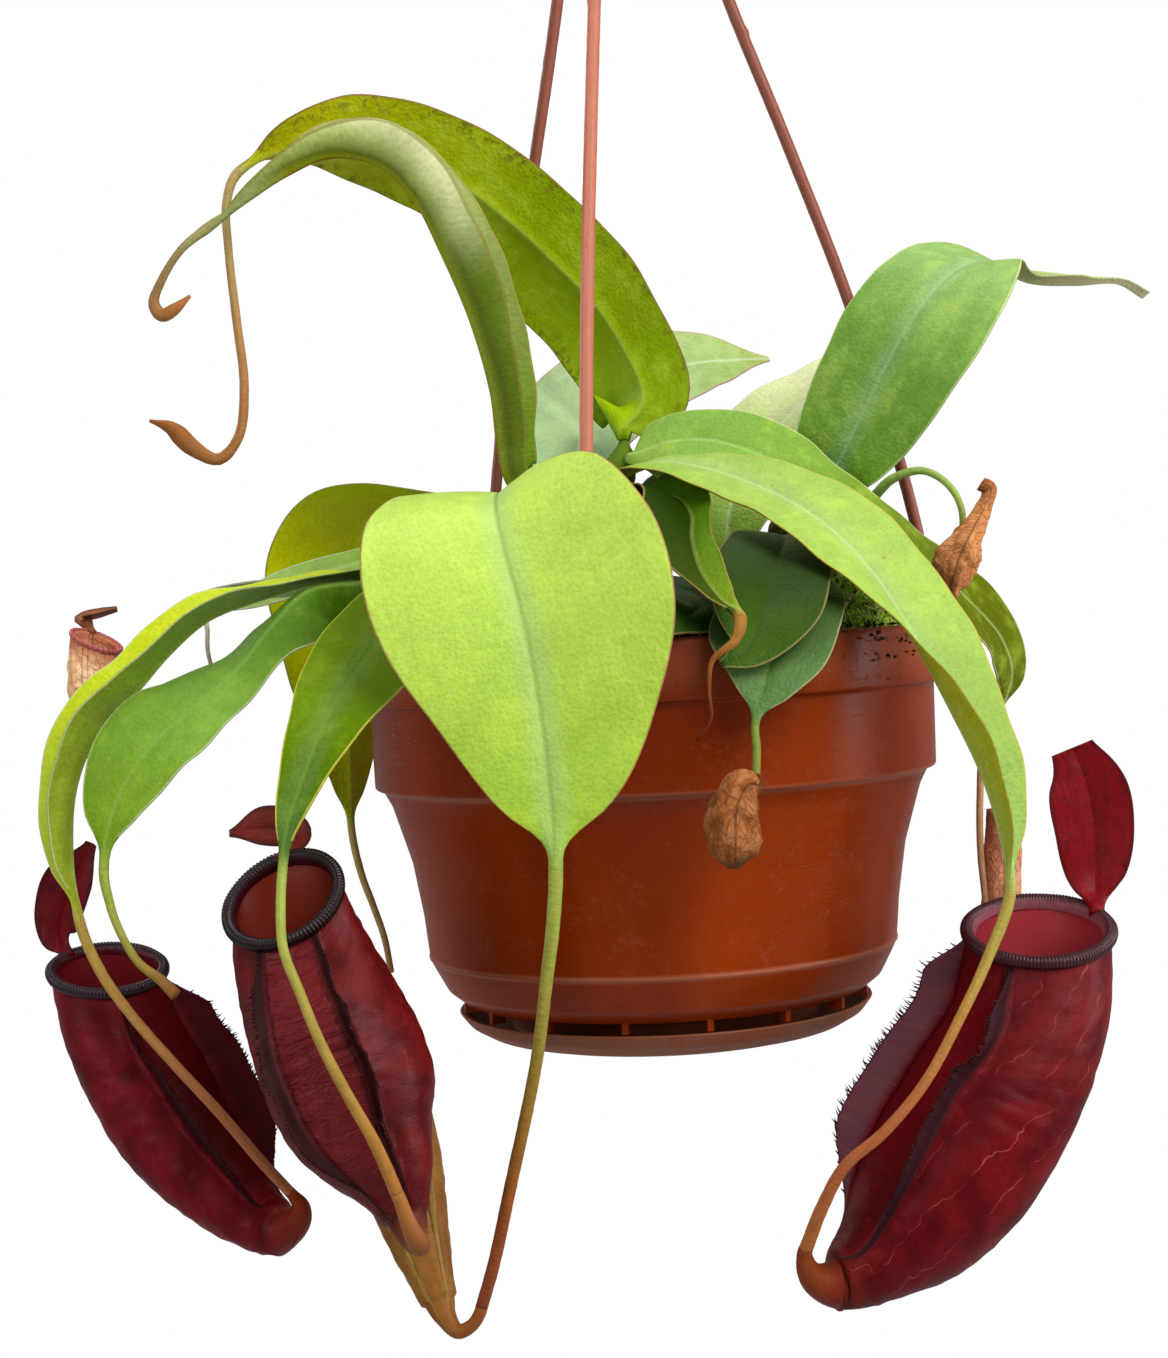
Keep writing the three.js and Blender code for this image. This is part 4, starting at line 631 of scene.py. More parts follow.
class Nodes:
    """Makes the nodes of one tree."""

    def __init__(self, tree):
        self.tree = tree

    def feed(self, socket, value):
        """Links a signal to a socket, or sets the socket to a number, a vector or a colour."""
        if isinstance(value, Signal):
            self.tree.links.new(value.socket, socket)
        elif hasattr(value, "__len__") and len(value) == 3 and len(socket.default_value) == 4:
            socket.default_value = (*value, 1)
        else:
            socket.default_value = value

    def node(self, kind, settings, values, output=0):
        """A node with its settings made first, then its sockets fed; gives one of its outputs."""
        made = self.tree.nodes.new(kind)
        for key, value in settings.items():
            if key == "stops":
                stops = made.color_ramp.elements
                while len(stops) < len(value):
                    stops.new(0.5)
                for stop, (position, colour) in zip(stops, value):
                    stop.position = position
                    stop.color = (*colour, 1)
            else:
                setattr(made, key, value)
        for key, value in values.items():
            self.feed(made.inputs[key], value)
        return Signal(self, made.outputs[output])

    def maths(self, operation, *values):
        return self.node("ShaderNodeMath", {"operation": operation}, dict(enumerate(values)))

    def mix(self, share, first, second):
        return self.node("ShaderNodeMix", {"data_type": "RGBA"}, {0: share, 6: first, 7: second}, 2)

    def shaded(self, colour, amount):
        """A colour made lighter or darker by a number round 1."""
        grey = self.node("ShaderNodeCombineXYZ", {}, {0: amount, 1: amount, 2: amount})
        return self.scaled(colour, grey)

    def ramp(self, value, stops):
        return self.node("ShaderNodeValToRGB", {"stops": stops}, {0: value})

    def reading(self, name):
        """A reading kept on the piece's points, as a vector."""
        return self.node("ShaderNodeAttribute", {"attribute_name": name}, {}, 1)

    def place(self):
        """Where a point is on the model, in metres."""
        return self.node("ShaderNodeTexCoord", {}, {}, 3)

    def axis(self, vector, index):
        return self.node("ShaderNodeSeparateXYZ", {}, {0: vector}, index)

    def scaled(self, vector, scale):
        """A vector stretched along its axes."""
        settings = {"operation": "MULTIPLY"}
        return self.node("ShaderNodeVectorMath", settings, {0: vector, 1: scale})

    def noise(self, vector, scale, detail=3, roughness=0.55, bend=0):
        values = {
            "Vector": vector, "Scale": scale, "Detail": detail, "Roughness": roughness,
            "Distortion": bend,
        }
        return self.node("ShaderNodeTexNoise", {}, values)

    def cells(self, vector, scale, feature="F1"):
        values = {"Vector": vector, "Scale": scale}
        return self.node("ShaderNodeTexVoronoi", {"feature": feature}, values)


class Finish(Nodes):
    """One material: its shader, its fixed numbers and the nodes that vary over the surface."""

    def __init__(self, name, **fixed):
        self.material = bpy.data.materials.new(name)
        self.material.use_nodes = True
        super().__init__(self.material.node_tree)
        self.shader = self.tree.nodes["Principled BSDF"]
        for socket, value in fixed.items():
            self.feed(self.shader.inputs[socket.replace("_", " ")], value)

    def dress(self, colour, roughness=None, height=None, rise=0):
        """Feeds the shader with what varies over the surface. rise is the bump's, in metres."""
        self.feed(self.shader.inputs["Base Color"], colour)
        if roughness is not None:
            self.feed(self.shader.inputs["Roughness"], roughness)
        if height is not None:
            values = {"Height": height, "Distance": rise, "Strength": 1.0}
            normal = self.node("ShaderNodeBump", {}, values)
            self.feed(self.shader.inputs["Normal"], normal)
        return self.material


# Leaves

# Where the columns of points lie over half a blade, from the midrib to the margin.
HALF_COLUMNS = (0.03, 0.08, 0.15, 0.24, 0.34, 0.45, 0.56, 0.67, 0.77, 0.86, 0.93, 0.975, 1)
COLUMNS = np.array([-c for c in reversed(HALF_COLUMNS)] + [0.0] + list(HALF_COLUMNS))
MIDDLE_THICKNESS = 0.4
MARGIN_THICKNESS = 0.17
MIDRIB_GROOVE = 0.3
MIDRIB_KEEL = 0.9
SLIMMEST_HALF = 0.5
FOLD_BEND = 1.15
BULGE = 0.1
WAVE_LENGTH = 34
TENDRIL_STEPS = 70
# The first ring of a leaf or a pitcher reaches this much back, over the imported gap.
ROOTED = 0.7
# What a stalk or tendril reads as its distance from the margin, in metres, so it has none.
FAR_FROM_EDGE = 0.02


def leaf_ring(place, side, up, half_widths, folds, roundness, radius, wave, rib, bulge, bend):
    """A ring round a leaf: its upper side from left to right, then its lower side back."""
    reach = np.abs(COLUMNS)
    sign = np.sign(COLUMNS)
    width = np.where(COLUMNS < 0, half_widths[0], half_widths[1])
    fold = np.radians(np.where(COLUMNS < 0, folds[0], folds[1]))
    out = sign * width * reach * np.cos(fold)
    lift = width * np.sin(fold) * reach**bend + bulge * width * reach * (1 - reach)
    lift = lift + wave * reach**2
    thickness = MIDDLE_THICKNESS + (MARGIN_THICKNESS - MIDDLE_THICKNESS) * reach
    beside_rib = np.exp(-((COLUMNS * width) ** 2))
    turn = math.pi * (1 - (np.arange(len(COLUMNS)) + 0.5) / len(COLUMNS))
    rows = []
    for level, hollow in ((1, MIDRIB_GROOVE), (-1, MIDRIB_KEEL)):
        height = lift + level * thickness * np.cos(fold)
        height = height - hollow * rib * beside_rib
        sideways = out - level * thickness * sign * np.sin(fold)
        sideways = sideways + roundness * (radius * np.cos(turn) - sideways)
        height = height + roundness * (level * radius * np.sin(turn) - height)
        rows.append(place + np.outer(sideways, side) + np.outer(height, up))
    return np.concatenate([rows[0], rows[1][::-1]]), np.concatenate([out, out[::-1]])


def margin_swing(distance, phases, half):
    """How far one half's margin swings up or down at a distance along the leaf."""
    turns = distance / WAVE_LENGTH
    return math.sin(turns * 6.28 + phases[half]) + 0.5 * math.sin(turns * 14.3 + phases[half + 2])


def leaf_piece(name, leaf, finish, seed, ripple, steps=90):
    """The blade, its stalk and the tendril that goes on from its tip, as one skin."""
    dice = random.Random(seed)
    phases = [dice.uniform(0, 6.28) for _ in range(4)]
    tendril = leaf.get("tendril", ())
    tendril_radius = leaf.get("tendril_radius", (1.1, 1.1))
    route = Route([*leaf["route"], *tendril])
    tip = len(leaf["route"]) - 1
    widths = (leaf["width"], leaf.get("right_width", leaf["width"]))
    angles = (leaf["fold"], leaf.get("right_fold", leaf["fold"]))
    levels = np.concatenate([np.ones(len(COLUMNS)), -np.ones(len(COLUMNS))])
    reach = np.abs(np.concatenate([COLUMNS, COLUMNS[::-1]]))
    rings, blade, spot = [], [], []
    for share, centre, tangent, distance in route.places(0, tip, steps):
        up = along(leaf["face"], share)
        up = unit(up - up.dot(tangent) * tangent)
        side = np.cross(tangent, up)
        at_base = 1 - ease(share, 0, leaf.get("stalk", 0.15))
        at_tip = ease(share, 0.93, 1) if tendril else 0
        roundness = max(at_base, at_tip)
        radius = leaf.get("petiole", 1.6) if at_base > 0 else tendril_radius[0]
        halves = [max(float(along(width, share)), SLIMMEST_HALF) for width in widths]
        folds = [float(along(half, share)) for half in angles]
        left, right = (margin_swing(distance, phases, half) for half in (0, 1))
        size = ripple * min(1, min(halves) / 8) * (1 - roundness)
        wave = size * np.where(COLUMNS < 0, left, right)
        rib = (1 - roundness) * (1 - 0.6 * share)
        if not rings:
            centre = centre - ROOTED * tangent
        ring, out = leaf_ring(
            centre, side, up, halves, folds, roundness, radius, wave, rib,
            BULGE * (1 - roundness), leaf.get("bend", FOLD_BEND))
        rings.append(ring)
        edge = (1 - reach) * max(halves) * MILLIMETRE + FAR_FROM_EDGE * ease(roundness, 0.3, 0.8)
        length = distance * MILLIMETRE
        blade.append(ring_reading(len(ring), length, out * MILLIMETRE, levels * 0.004 + seed))
        spot.append(ring_reading(len(ring), share, edge, levels))
    if tendril:
        blade_length = distance
        for share, centre, tangent, distance in route.places(tip, route.last, TENDRIL_STEPS)[1:]:
            up = unit(up - up.dot(tangent) * tangent)
            side = np.cross(tangent, up)
            radius = float(along(tendril_radius, share))
            radius *= 1 + 0.05 * noise.noise(Vector((distance * 0.5, seed, 0)))
            ring, out = leaf_ring(centre, side, up, (1, 1), (0, 0), 1, radius, 0, 0, 0, FOLD_BEND)
            rings.append(ring)
            length = (blade_length + distance) * MILLIMETRE
            blade.append(ring_reading(len(ring), length, out * MILLIMETRE, levels * 0.001 + seed))
            spot.append(ring_reading(len(ring), 1 + share, FAR_FROM_EDGE, levels))
    readings = {"blade": with_ends(blade), "spot": with_ends(spot)}
    return make_piece(name, *loft(rings), finish, readings)


def beyond_tendril(leaf, reaches):
    """Points that carry on from a tendril's end, at these distances from it."""
    route = Route(leaf["tendril"])
    end, way = route.point(1), route.direction(1)
    return [end + reach * way for reach in reaches]


# Pitchers

WING_ANGLE = 34
WING_ROOT = 5
# Up a wing: the rise, half the thickness where the wing stands out, and the same where it
# doesn't, as a share of its root.
WING_RISE = (
    (0.05, 0.8, 0.9), (0.16, 0.5, 0.7), (0.4, 0.36, 0.55), (0.7, 0.28, 0.4), (0.94, 0.2, 0.25),
)
PITCHER_WALL = 1.1
# From front to back a pitcher is this share of its width.
PITCHER_DEPTH = 0.9
LIP_SCALE = 0.86
LIP_PROFILE = (
    (-0.1, -0.5), (0.65, -0.1), (0.9, 0.6), (0.7, 1.35), (0, 1.75), (-0.8, 1.35), (-1.2, 0.5),
    (-1.2, -0.3),
)
BRISTLE_THICKNESS = 0.26
BAG_COLUMNS = 48


def pitcher_columns(wing_angle):
    """Each column of a pitcher's ring: its angle, its rise up a wing, and its two half widths."""
    between, behind = wing_angle - WING_ROOT, wing_angle + WING_ROOT
    turns = (*np.linspace(-between, between, 13), *np.linspace(behind, 360 - behind, 53))
    columns = [(turn, 0, None) for turn in turns]
    for middle in (-wing_angle, wing_angle):
        rise = [(*step, -1) for step in WING_RISE] + [(1, 0, 0, 1)]
        rise += [(*step, 1) for step in reversed(WING_RISE)]
        for i, (up, thick, share, sign) in enumerate(rise):
            turn = middle + 0.001 * (i - len(WING_RISE))
            columns.append((turn, up, (sign * thick, sign * share)))
    return sorted(columns, key=lambda column: column[0] % 360)


def pitcher_frame(normal, front):
    """Forward and sideways in a ring across the pitcher."""
    forward = unit(front - front.dot(normal) * normal)
    return forward, np.cross(normal, forward)


def pitcher_ring(columns, centre, normal, front, across, depth, wing=(0, 0, 0), bump=None):
    """A ring round the body that climbs over both wings, given their size, share and sway."""
    forward, side = pitcher_frame(normal, front)
    size, fullness, sway = wing
    ring = []
    for turn, rise, halves in columns:
        angle = math.radians(turn)
        out = forward * depth * math.cos(angle) + side * across * math.sin(angle)
        round_way = unit(-forward * depth * math.sin(angle) + side * across * math.cos(angle))
        point = centre + out
        if halves:
            rooted = halves[1] * across * math.radians(WING_ROOT)
            point = point + round_way * (rooted + (halves[0] - rooted) * fullness)
            point = point + unit(out) * size * rise + round_way * sway * rise**2
        elif bump:
            point = point + unit(out) * bump(turn)
        ring.append(point)
    return np.array(ring)


def wing_fullness(share):
    """How far the wings stand out, from the body's low end to its mouth."""
    return ease(share, 0.06, 0.3) * (1 - ease(share, 0.9, 1))


def wing_sway(distance, seed):
    """A wing's crest bends a little from side to side."""
    return 0.45 * math.sin(distance * 0.28 + seed) + 0.12 * math.sin(distance * 1.1)


def pitcher_course(pitcher):
    """The tail's and the body's places, and where the front and the mouth look."""
    first = beyond_tendril(LEAVES[pitcher["hangs_from"]], (TENDRIL_GAP, TENDRIL_GAP + 1))
    tail = [*first, *pitcher["tail"]]
    route = Route([*tail, *pitcher["axis"]])
    front, mouth = unit(np.array(pitcher["front"], float)), unit(np.array(pitcher["mouth"], float))
    tail_places = route.places(0, len(tail), 26)[:-1]
    body = []
    for share, centre, tangent, distance in route.places(len(tail), route.last, 90):
        normal = unit(tangent + (mouth - tangent) * ease(share, 0.45, 1))
        width = float(along(pitcher["width"], share))
        body.append((share, centre, normal, width, distance))
    return tail_places, body, front, mouth


def skin_bump(seed, distance, calm, leather, wrinkle):
    """How far the skin stands out at each turn: leathery, with folds between the wings."""

    def bump(turn):
        angle = math.radians(turn)
        spot = Vector((math.sin(angle) * 9, math.cos(angle) * 9, distance))
        leathery = leather * noise.noise(spot * 0.35 + Vector((seed * 9, 0, 0)))
        facing = ease(math.cos(angle), 0.75, 0.95)
        folded = Vector((turn * 0.03, seed, distance * 0.62))
        return calm * (leathery + wrinkle * facing * noise.noise(folded))

    return bump


def pitcher_body(name, pitcher, finish, seed, leather, wrinkle):
    """Tail, body with two wings, and the wall down the inside of the cup."""
    tail, body, front, mouth = pitcher_course(pitcher)
    wing_angle = pitcher.get("wing_angle", WING_ANGLE)
    columns = pitcher_columns(wing_angle)
    angles = np.array([(c[0] + 180) % 360 - 180 for c in columns]) * WING_ANGLE / wing_angle
    rises = np.array([c[1] for c in columns], float)
    rings, skin, part = [], [], []

    def keep(ring, length, share, radius, inside):
        rings.append(ring)
        skin.append(ring_reading(len(ring), length, np.radians(angles) * radius * MILLIMETRE, seed))
        part.append(ring_reading(len(ring), share, angles / 180, -1 if inside else rises))

    for i, (share, centre, tangent, distance) in enumerate(tail):
        radius = float(along(pitcher["tail_radius"], share))
        if i == 0:
            centre = centre - ROOTED * tangent
        flatter = radius * (1 - (1 - PITCHER_DEPTH) * share)
        ring = pitcher_ring(columns, centre, tangent, front, radius, flatter)
        keep(ring, distance * MILLIMETRE, share - 1, radius, False)
    start = tail[-1][3]
    for share, centre, normal, across, distance in body:
        fullness = wing_fullness(share)
        size = pitcher.get("wing", 0) * fullness
        size *= 1 + 0.05 * noise.noise(Vector((distance * 0.9, seed, 0)))
        wing = (size, fullness, fullness * wing_sway(distance, seed))
        calm = 1 - ease(share, 0.93, 1)
        bump = skin_bump(seed, distance, calm, leather, wrinkle)
        ring = pitcher_ring(
            columns, centre, normal, front, across, across * PITCHER_DEPTH, wing, bump)
        keep(ring, (start + distance) * MILLIMETRE, share, across, False)
    share, centre, normal, across, distance = body[-1]
    for inwards, upwards in ((0.4, 0.5), (PITCHER_WALL, 0.2)):
        radius = across - inwards
        middle = centre + mouth * upwards
        ring = pitcher_ring(
            columns, middle, mouth, front, radius, across * PITCHER_DEPTH - inwards)
        keep(ring, (start + distance) * MILLIMETRE, 1, radius, True)
    inner = [entry for entry in body if pitcher.get("cup_bottom", 0.2) < entry[0] < 0.99][::-2]
    for share, centre, normal, across, distance in inner:
        radius = across - PITCHER_WALL
        ring = pitcher_ring(
            columns, centre, normal, front, radius, across * PITCHER_DEPTH - PITCHER_WALL)
        keep(ring, (start + distance) * MILLIMETRE, share, radius, True)
    for shrink in (0.75, 0.4):
        middle = centre - normal * (1 - shrink) * 1.5
        ring = pitcher_ring(
            columns, middle, normal, front, radius * shrink, radius * PITCHER_DEPTH * shrink)
        keep(ring, (start + distance) * MILLIMETRE, share, radius, True)
    readings = {"skin": with_ends(skin), "part": with_ends(part)}
    return make_piece(name, *loft(rings), finish, readings)


def pitcher_lip(name, pitcher, finish, ribs_apart, rib_height):
    """The rolled collar round the mouth, with a rib every so often."""
    _, body, front, mouth = pitcher_course(pitcher)
    _, centre, _, across, _ = body[-1]
    size = LIP_SCALE * pitcher["lip"]
    forward, side = pitcher_frame(mouth, front)
    ribs = max(16, round(2 * math.pi * across / ribs_apart))
    profile = Route([(x, y, 0) for x, y in LIP_PROFILE])
    rings, readings = [], []
    for share, (x, y, _), (run, climb, _), _ in profile.places(0, profile.last, 16):
        swell = math.sin(math.pi * share)
        ring = []
        for angle in even_angles(ribs * 6):
            wobble = 0.12 * noise.noise(Vector((math.cos(angle) * 2, math.sin(angle) * 2, across)))
            lift = rib_height * swell * math.cos(ribs * angle) + wobble * size
            outwards = x * size + lift * climb
            upwards = y * size - lift * run
            flat = forward * math.cos(angle) * (across * PITCHER_DEPTH + outwards)
            flat = flat + side * math.sin(angle) * (across + outwards)
            ring.append(centre + flat + mouth * upwards)
            readings.append((share, math.cos(ribs * angle), angle / math.pi))
        rings.append(np.array(ring))
    return make_piece(name, *loft(rings, ends=False), finish, {"part": readings})


def lid_leaf(pitcher):
    """The lid is a small leaf that stands on the back of the mouth."""
    _, body, front, mouth = pitcher_course(pitcher)
    _, centre, _, across, _ = body[-1]
    back = unit(front - front.dot(mouth) * mouth)
    hinge = centre - back * (across * PITCHER_DEPTH - 0.2 * pitcher["lip"])
    hinge = hinge + mouth * 0.8 * pitcher["lip"]
    return {**pitcher["lid"], "route": (tuple(hinge), *pitcher["lid"]["route"])}


def add_hair(points, faces, root, way, length, thickness, bend):
    """One bristle: a thin three-sided spike that bends once."""
    across = unit(np.cross(way, (0.31, 0.52, 0.79)))
    other = np.cross(way, across)
    start = len(points)
    for share, size in ((-0.15, 1), (0.5, 0.7)):
        middle = root + way * length * share + bend * length * share**2
        for turn in (0, 2.094, 4.189):
            out = across * math.cos(turn) + other * math.sin(turn)
            points.append(middle + thickness * size * out)
    points.append(root + way * length + bend * length)
    for i in range(3):
        j = (i + 1) % 3
        faces.append((start + i, start + j, start + 3 + j, start + 3 + i))
        faces.append((start + 3 + i, start + 3 + j, start + 6))


def pitcher_fringe(name, pitcher, finish, seed, hair_length):
    """Bristles along the crest of both wings."""
    dice = random.Random(seed)
    _, body, front, _ = pitcher_course(pitcher)
    points, faces = [], []
    for sign in (-1, 1):
        reached = 0
        for share, centre, normal, across, distance in body:
            fullness = wing_fullness(share)
            if fullness < 0.15 or distance < reached:
                continue
            reached = distance + dice.uniform(0.3, 1.1)
            forward, side = pitcher_frame(normal, front)
            angle = math.radians(sign * pitcher.get("wing_angle", WING_ANGLE))
            out = forward * across * PITCHER_DEPTH * math.cos(angle) + side * across * math.sin(angle)
            round_way = unit(-forward * PITCHER_DEPTH * math.sin(angle) + side * math.cos(angle))
            sway = fullness * wing_sway(distance, seed)
            root = centre + out + unit(out) * pitcher["wing"] * fullness * 0.97 + round_way * sway
            for _ in range(dice.choice((1, 1, 2))):
                way = unit(out) + normal * dice.uniform(0.0, 0.7) + round_way * dice.uniform(-0.5, 0.5)
                bend = normal * dice.uniform(-0.1, 0.4)
                length = hair_length * dice.uniform(0.45, 1.1) * (0.5 + 0.5 * fullness)
                add_hair(points, faces, root, unit(way), length, BRISTLE_THICKNESS, bend)
    return make_piece(name, points, faces, finish)


def withered_piece(name, bag, finish, seed):
    """A pitcher that has shrunk to a creased bag."""
    first = beyond_tendril(LEAVES[bag["hangs_from"]], (TENDRIL_GAP, TENDRIL_GAP + 1))
    route = Route([*first, *bag["axis"]])
    crease = bag.get("crease", 0.1)
    rings, skin = [], []
    for i, (share, centre, tangent, distance) in enumerate(route.places(0, route.last, 80)):
        forward, side = pitcher_frame(tangent, np.array((0, -1, 0), float))
        if i == 0:
            centre = centre - ROOTED * tangent
        width = float(along(bag["width"], share))
        ring = []
        for angle in even_angles(BAG_COLUMNS):
            spot = Vector((math.cos(angle) * 1.6, math.sin(angle) * 1.6, distance * 0.16 + seed))
            folds = noise.noise(spot) + 0.5 * noise.noise(spot * 2.3) + 0.25 * noise.noise(spot * 5)
            radius = width * (1 + 2.2 * crease * folds)
            ring.append(centre + radius * (forward * math.cos(angle) + side * math.sin(angle)))
            skin.append((distance * MILLIMETRE, angle * width * MILLIMETRE, share))
        rings.append(np.array(ring))
    skin += [skin[0], skin[-1]]
    return make_piece(name, *loft(rings), finish, {"skin": skin, "part": skin})


# Finishes of the plant

# How each leaf looks. top and under run from base to tip, and under is as top where it isn't
# named. dust is a pale bloom, blotch brown mottling, and sheen a painted highlight: the
# bluish band beside the midrib.
# low_bands and high_bands run from the midrib outwards, low and high on the arched underside:
# a real margin line, then painted shade, and high up a painted highlight.

LEAF_GLOSS = 0.13
BAND_PLACES = (0.0, 0.05, 0.16, 0.34, 0.54, 0.7, 0.95)
LEAF_LOOKS = {
    "leaf_back_arch": {
        "top": ("#7f8f1e", "#8a8f22", "#7a7a26"), "under": ("#7b9502", "#8da302", "#aeab08"),
        "margin": "#8a5a3a", "rib": "#9aa84a", "blotch": 0.7, "roughness": 0.5, "gloss": 0.06,
        "painted_base_light": 0.45,
        "tendril": ("#a8935a", "#a8784a", "#8a5426"),
    },
    "leaf_left_arch": {
        # The pale stops where the arch is highest are a painted highlight.
        "top": ("#66820c", "#6f8a1c", "#8f9c50", "#b4bc78", "#8f9a58"),
        "under": ("#66860c", "#6f8f0c", "#8fa03c", "#b8c484", "#8f9a60"),
        "margin": "#8f8a3c", "rib": "#6a4a1c", "roughness": 0.42, "yellow": 0, "gloss": 0.06,
        "low_bands": ("#7c4a1c", "#87900c", "#7f8f0c", "#5c6c1c", "#6c8420", "#7c9430", "#6c7c30"),
        "high_bands": ("#7c4a1c", "#8f9410", "#6c7824", "#b4c070", "#fcffc4", "#f8fcb4", "#d0d88c"),
        "rippled": 0.35,
        "tendril": ("#8f8a58", "#8a6a42", "#a8683a"),
    },
    "leaf_front": {
        "top": ("#95b53d", "#b2cf55", "#91b132"), "under": ("#8aa82c",) * 2,
        "margin": "#96523c", "rib": "#789848", "ribbed": 0.6, "painted_sheen": 0.7, "roughness": 0.42,
        "specks": 0.5,
        "tendril": ("#8f9a3e", "#8a8034", "#8a6828", "#8a4c20", "#7c3c20"),
    },
    "leaf_right_arch": {
        "top": ("#92b34a", "#95b34e", "#8caa45"), "under": ("#a5ae20", "#a8b41a", "#a0b02c"),
        "margin": "#b7a83c", "rib": "#b4cf9a", "painted_sheen": 0.4, "roughness": 0.45, "rust": 0.5,
        "tendril": ("#a09040", "#a87838", "#a86438", "#a85c34", "#b06830"),
    },
    "leaf_right_low": {
        "top": ("#7b9c43", "#7ca642", "#708c28", "#5c6602", "#525c02"),
        "under": ("#6d8a22", "#7c9020", "#5f6c02"), "gloss": 0.04,
        "margin": "#c0c48a", "rib": "#a8c47a", "roughness": 0.45,
        "tendril": ("#a8885a", "#b08660", "#b08866"),
    },
    "leaf_upper_right": {
        "top": ("#62900c", "#639020", "#709c3c", "#84a858", "#8fa45c", "#c8b48c"),
        "under": ("#6a9440", "#7c9a48", "#9a9450", "#c8b48c"),
        "margin": "#c3d48c", "rib": "#9ac084", "dust": 0.12, "painted_sheen": 0.6, "roughness": 0.5,
    },
    "leaf_pale_back": {
        "top": ("#86b02c", "#a4c458", "#e0e4b0", "#e8e8c0"),
        "margin": "#d6dcb8", "rib": "#dbe4c0", "roughness": 0.55,
    },
    "leaf_back": {
        "top": ("#8fb586", "#a2bc85", "#91aa46"), "under": ("#8fae70",) * 2,
        "margin": "#c08f80", "rib": "#d2e0c0", "dust": 0.5, "roughness": 0.55,
    },
    "leaf_left_rear": {
        "top": ("#86a01c", "#d4dc04", "#a4bb02"), "under": ("#879c22", "#d4dc04", "#a4b404"),
        "margin": "#8d8740", "rib": "#9aa648", "roughness": 0.45, "blotch": 0.1, "gloss": 0.08,
        "tendril": ("#b0a060", "#a88e5c", "#a88452"),
    },
    "leaf_far_left": {
        "top": ("#93b43a", "#bac40a", "#abbf27"), "under": ("#7c9a26", "#6f9426", "#94a428"),
        "margin": "#c2c88a", "rib": "#b9cf7a", "roughness": 0.42,
        "tendril": ("#a8883c", "#a0663c", "#9a5a38"),
    },
    "leaf_twisted_left": {
        # The darkest stops, at the base, are painted shade on the hump.
        "top": ("#1e3c02", "#284802", "#466c08", "#709638", "#6a8d18"),
        "under": ("#4f7f22", "#578a2a", "#74a83c"),
        "margin": "#bcc890", "rib": "#7fa050", "roughness": 0.45, "specks": 0.3, "yellow": 0.1,
        "gloss": 0.04,
        "tendril": ("#8f9e40", "#8f8a3c", "#8a5a30"),
    },
    "leaf_lower_left": {
        "top": ("#567c02", "#688802", "#668402", "#406002"), "under": ("#5c8c2c", "#6a9434", "#7c9c40"),
        "margin": "#c8c050", "rib": "#6c9434", "roughness": 0.34, "painted_sheen": 0.25, "rust": 0.3,
        "yellow": 0.1, "gloss": 0.025,
        "tendril": ("#93a04a", "#98803c", "#a06a34"),
    },
    "leaf_small_left": {
        "top": ("#8fb03c", "#93b050", "#8a9c74"), "under": ("#93ac58", "#93ac60", "#93a878"),
        "margin": "#b8bca0", "rib": "#b0bf8c", "roughness": 0.5,
        "tendril": ("#a8a68c", "#b09c86", "#a88868"),
    },
    "leaf_tip_left": {
        "top": ("#7ca02c", "#86a83c", "#7f9c58"), "under": ("#8aa840", "#93b04c", "#93ac60"),
        "margin": "#a8b08c", "rib": "#a8bc80", "roughness": 0.5,
        "tendril": ("#b8b09c", "#b8b0a0", "#a08a70"),
    },
    "leaf_young_curled": {
        "top": ("#345004", "#4c740c", "#7c9a20"), "under": ("#264212", "#2c4a14", "#3c6018"),
        "margin": "#a8904c", "rib": "#a8b060", "roughness": 0.4, "yellow": 0, "gloss": 0.04,
        "shaded_right_half": 0.22,
        "tendril": ("#94682c", "#7c4420", "#5c2014"),
    },
    "leaf_young_round": {
        # The grey first stops are a painted sky reflection on the flatter upper part.
        "top": ("#4a5c4c", "#46584a", "#34442a", "#2c400e", "#385808"),
        "under": ("#4a7a2c",) * 2,
        "margin": "#8a7c4c", "rib": "#2c4a10", "roughness": 0.34, "yellow": 0, "gloss": 0.05,
    },
    "leaf_young_front": {
        "top": ("#2c5008", "#2c5008", "#44602c", "#5c7c44"),
        "under": ("#4a7a2c",) * 2, "gloss": 0.08,
        "margin": "#a8a070", "rib": "#3c6414", "roughness": 0.32, "yellow": 0, "specks": 0.3,
        "tendril": ("#6f8230", "#7a7a30"),
    },
    "leaf_young_dark": {
        "top": ("#24400a", "#28480c", "#305010"), "under": ("#3c6024",) * 2,
        "margin": "#8a7a3c", "rib": "#3c5c18", "roughness": 0.35, "specks": 0.8, "yellow": 0,
        "gloss": 0.05,
    },
    "leaf_narrow_right": {
        "top": ("#4a6c2c", "#5a7c34", "#6a8c3c"),
        "margin": "#7a8c4a", "rib": "#7a9c4a", "roughness": 0.45,
        "tendril": ("#7c9a48", "#93ac50", "#a89a54"),
    },
}


def spread(codes, start, end):
    """A ramp's stops, with the colours at even places from start to end."""
    step = (end - start) / (len(codes) - 1)
    return [(start + step * i, tone(code)) for i, code in enumerate(codes)]


def painted_arch_bands(finish, look, share, across, broad):
    """Bands along an arched underside that change from low end to high: painted shade and highlight."""
    reach = abs(across) * 80 + (broad - 0.5) * 0.12
    bands = []
    for height in ("low_bands", "high_bands"):
        stops = [(at, tone(code)) for at, code in zip(BAND_PLACES, look[height])]
        bands.append(finish.ramp(reach, stops))
    return finish.mix(share.rising(0.46, 0.66), *bands)


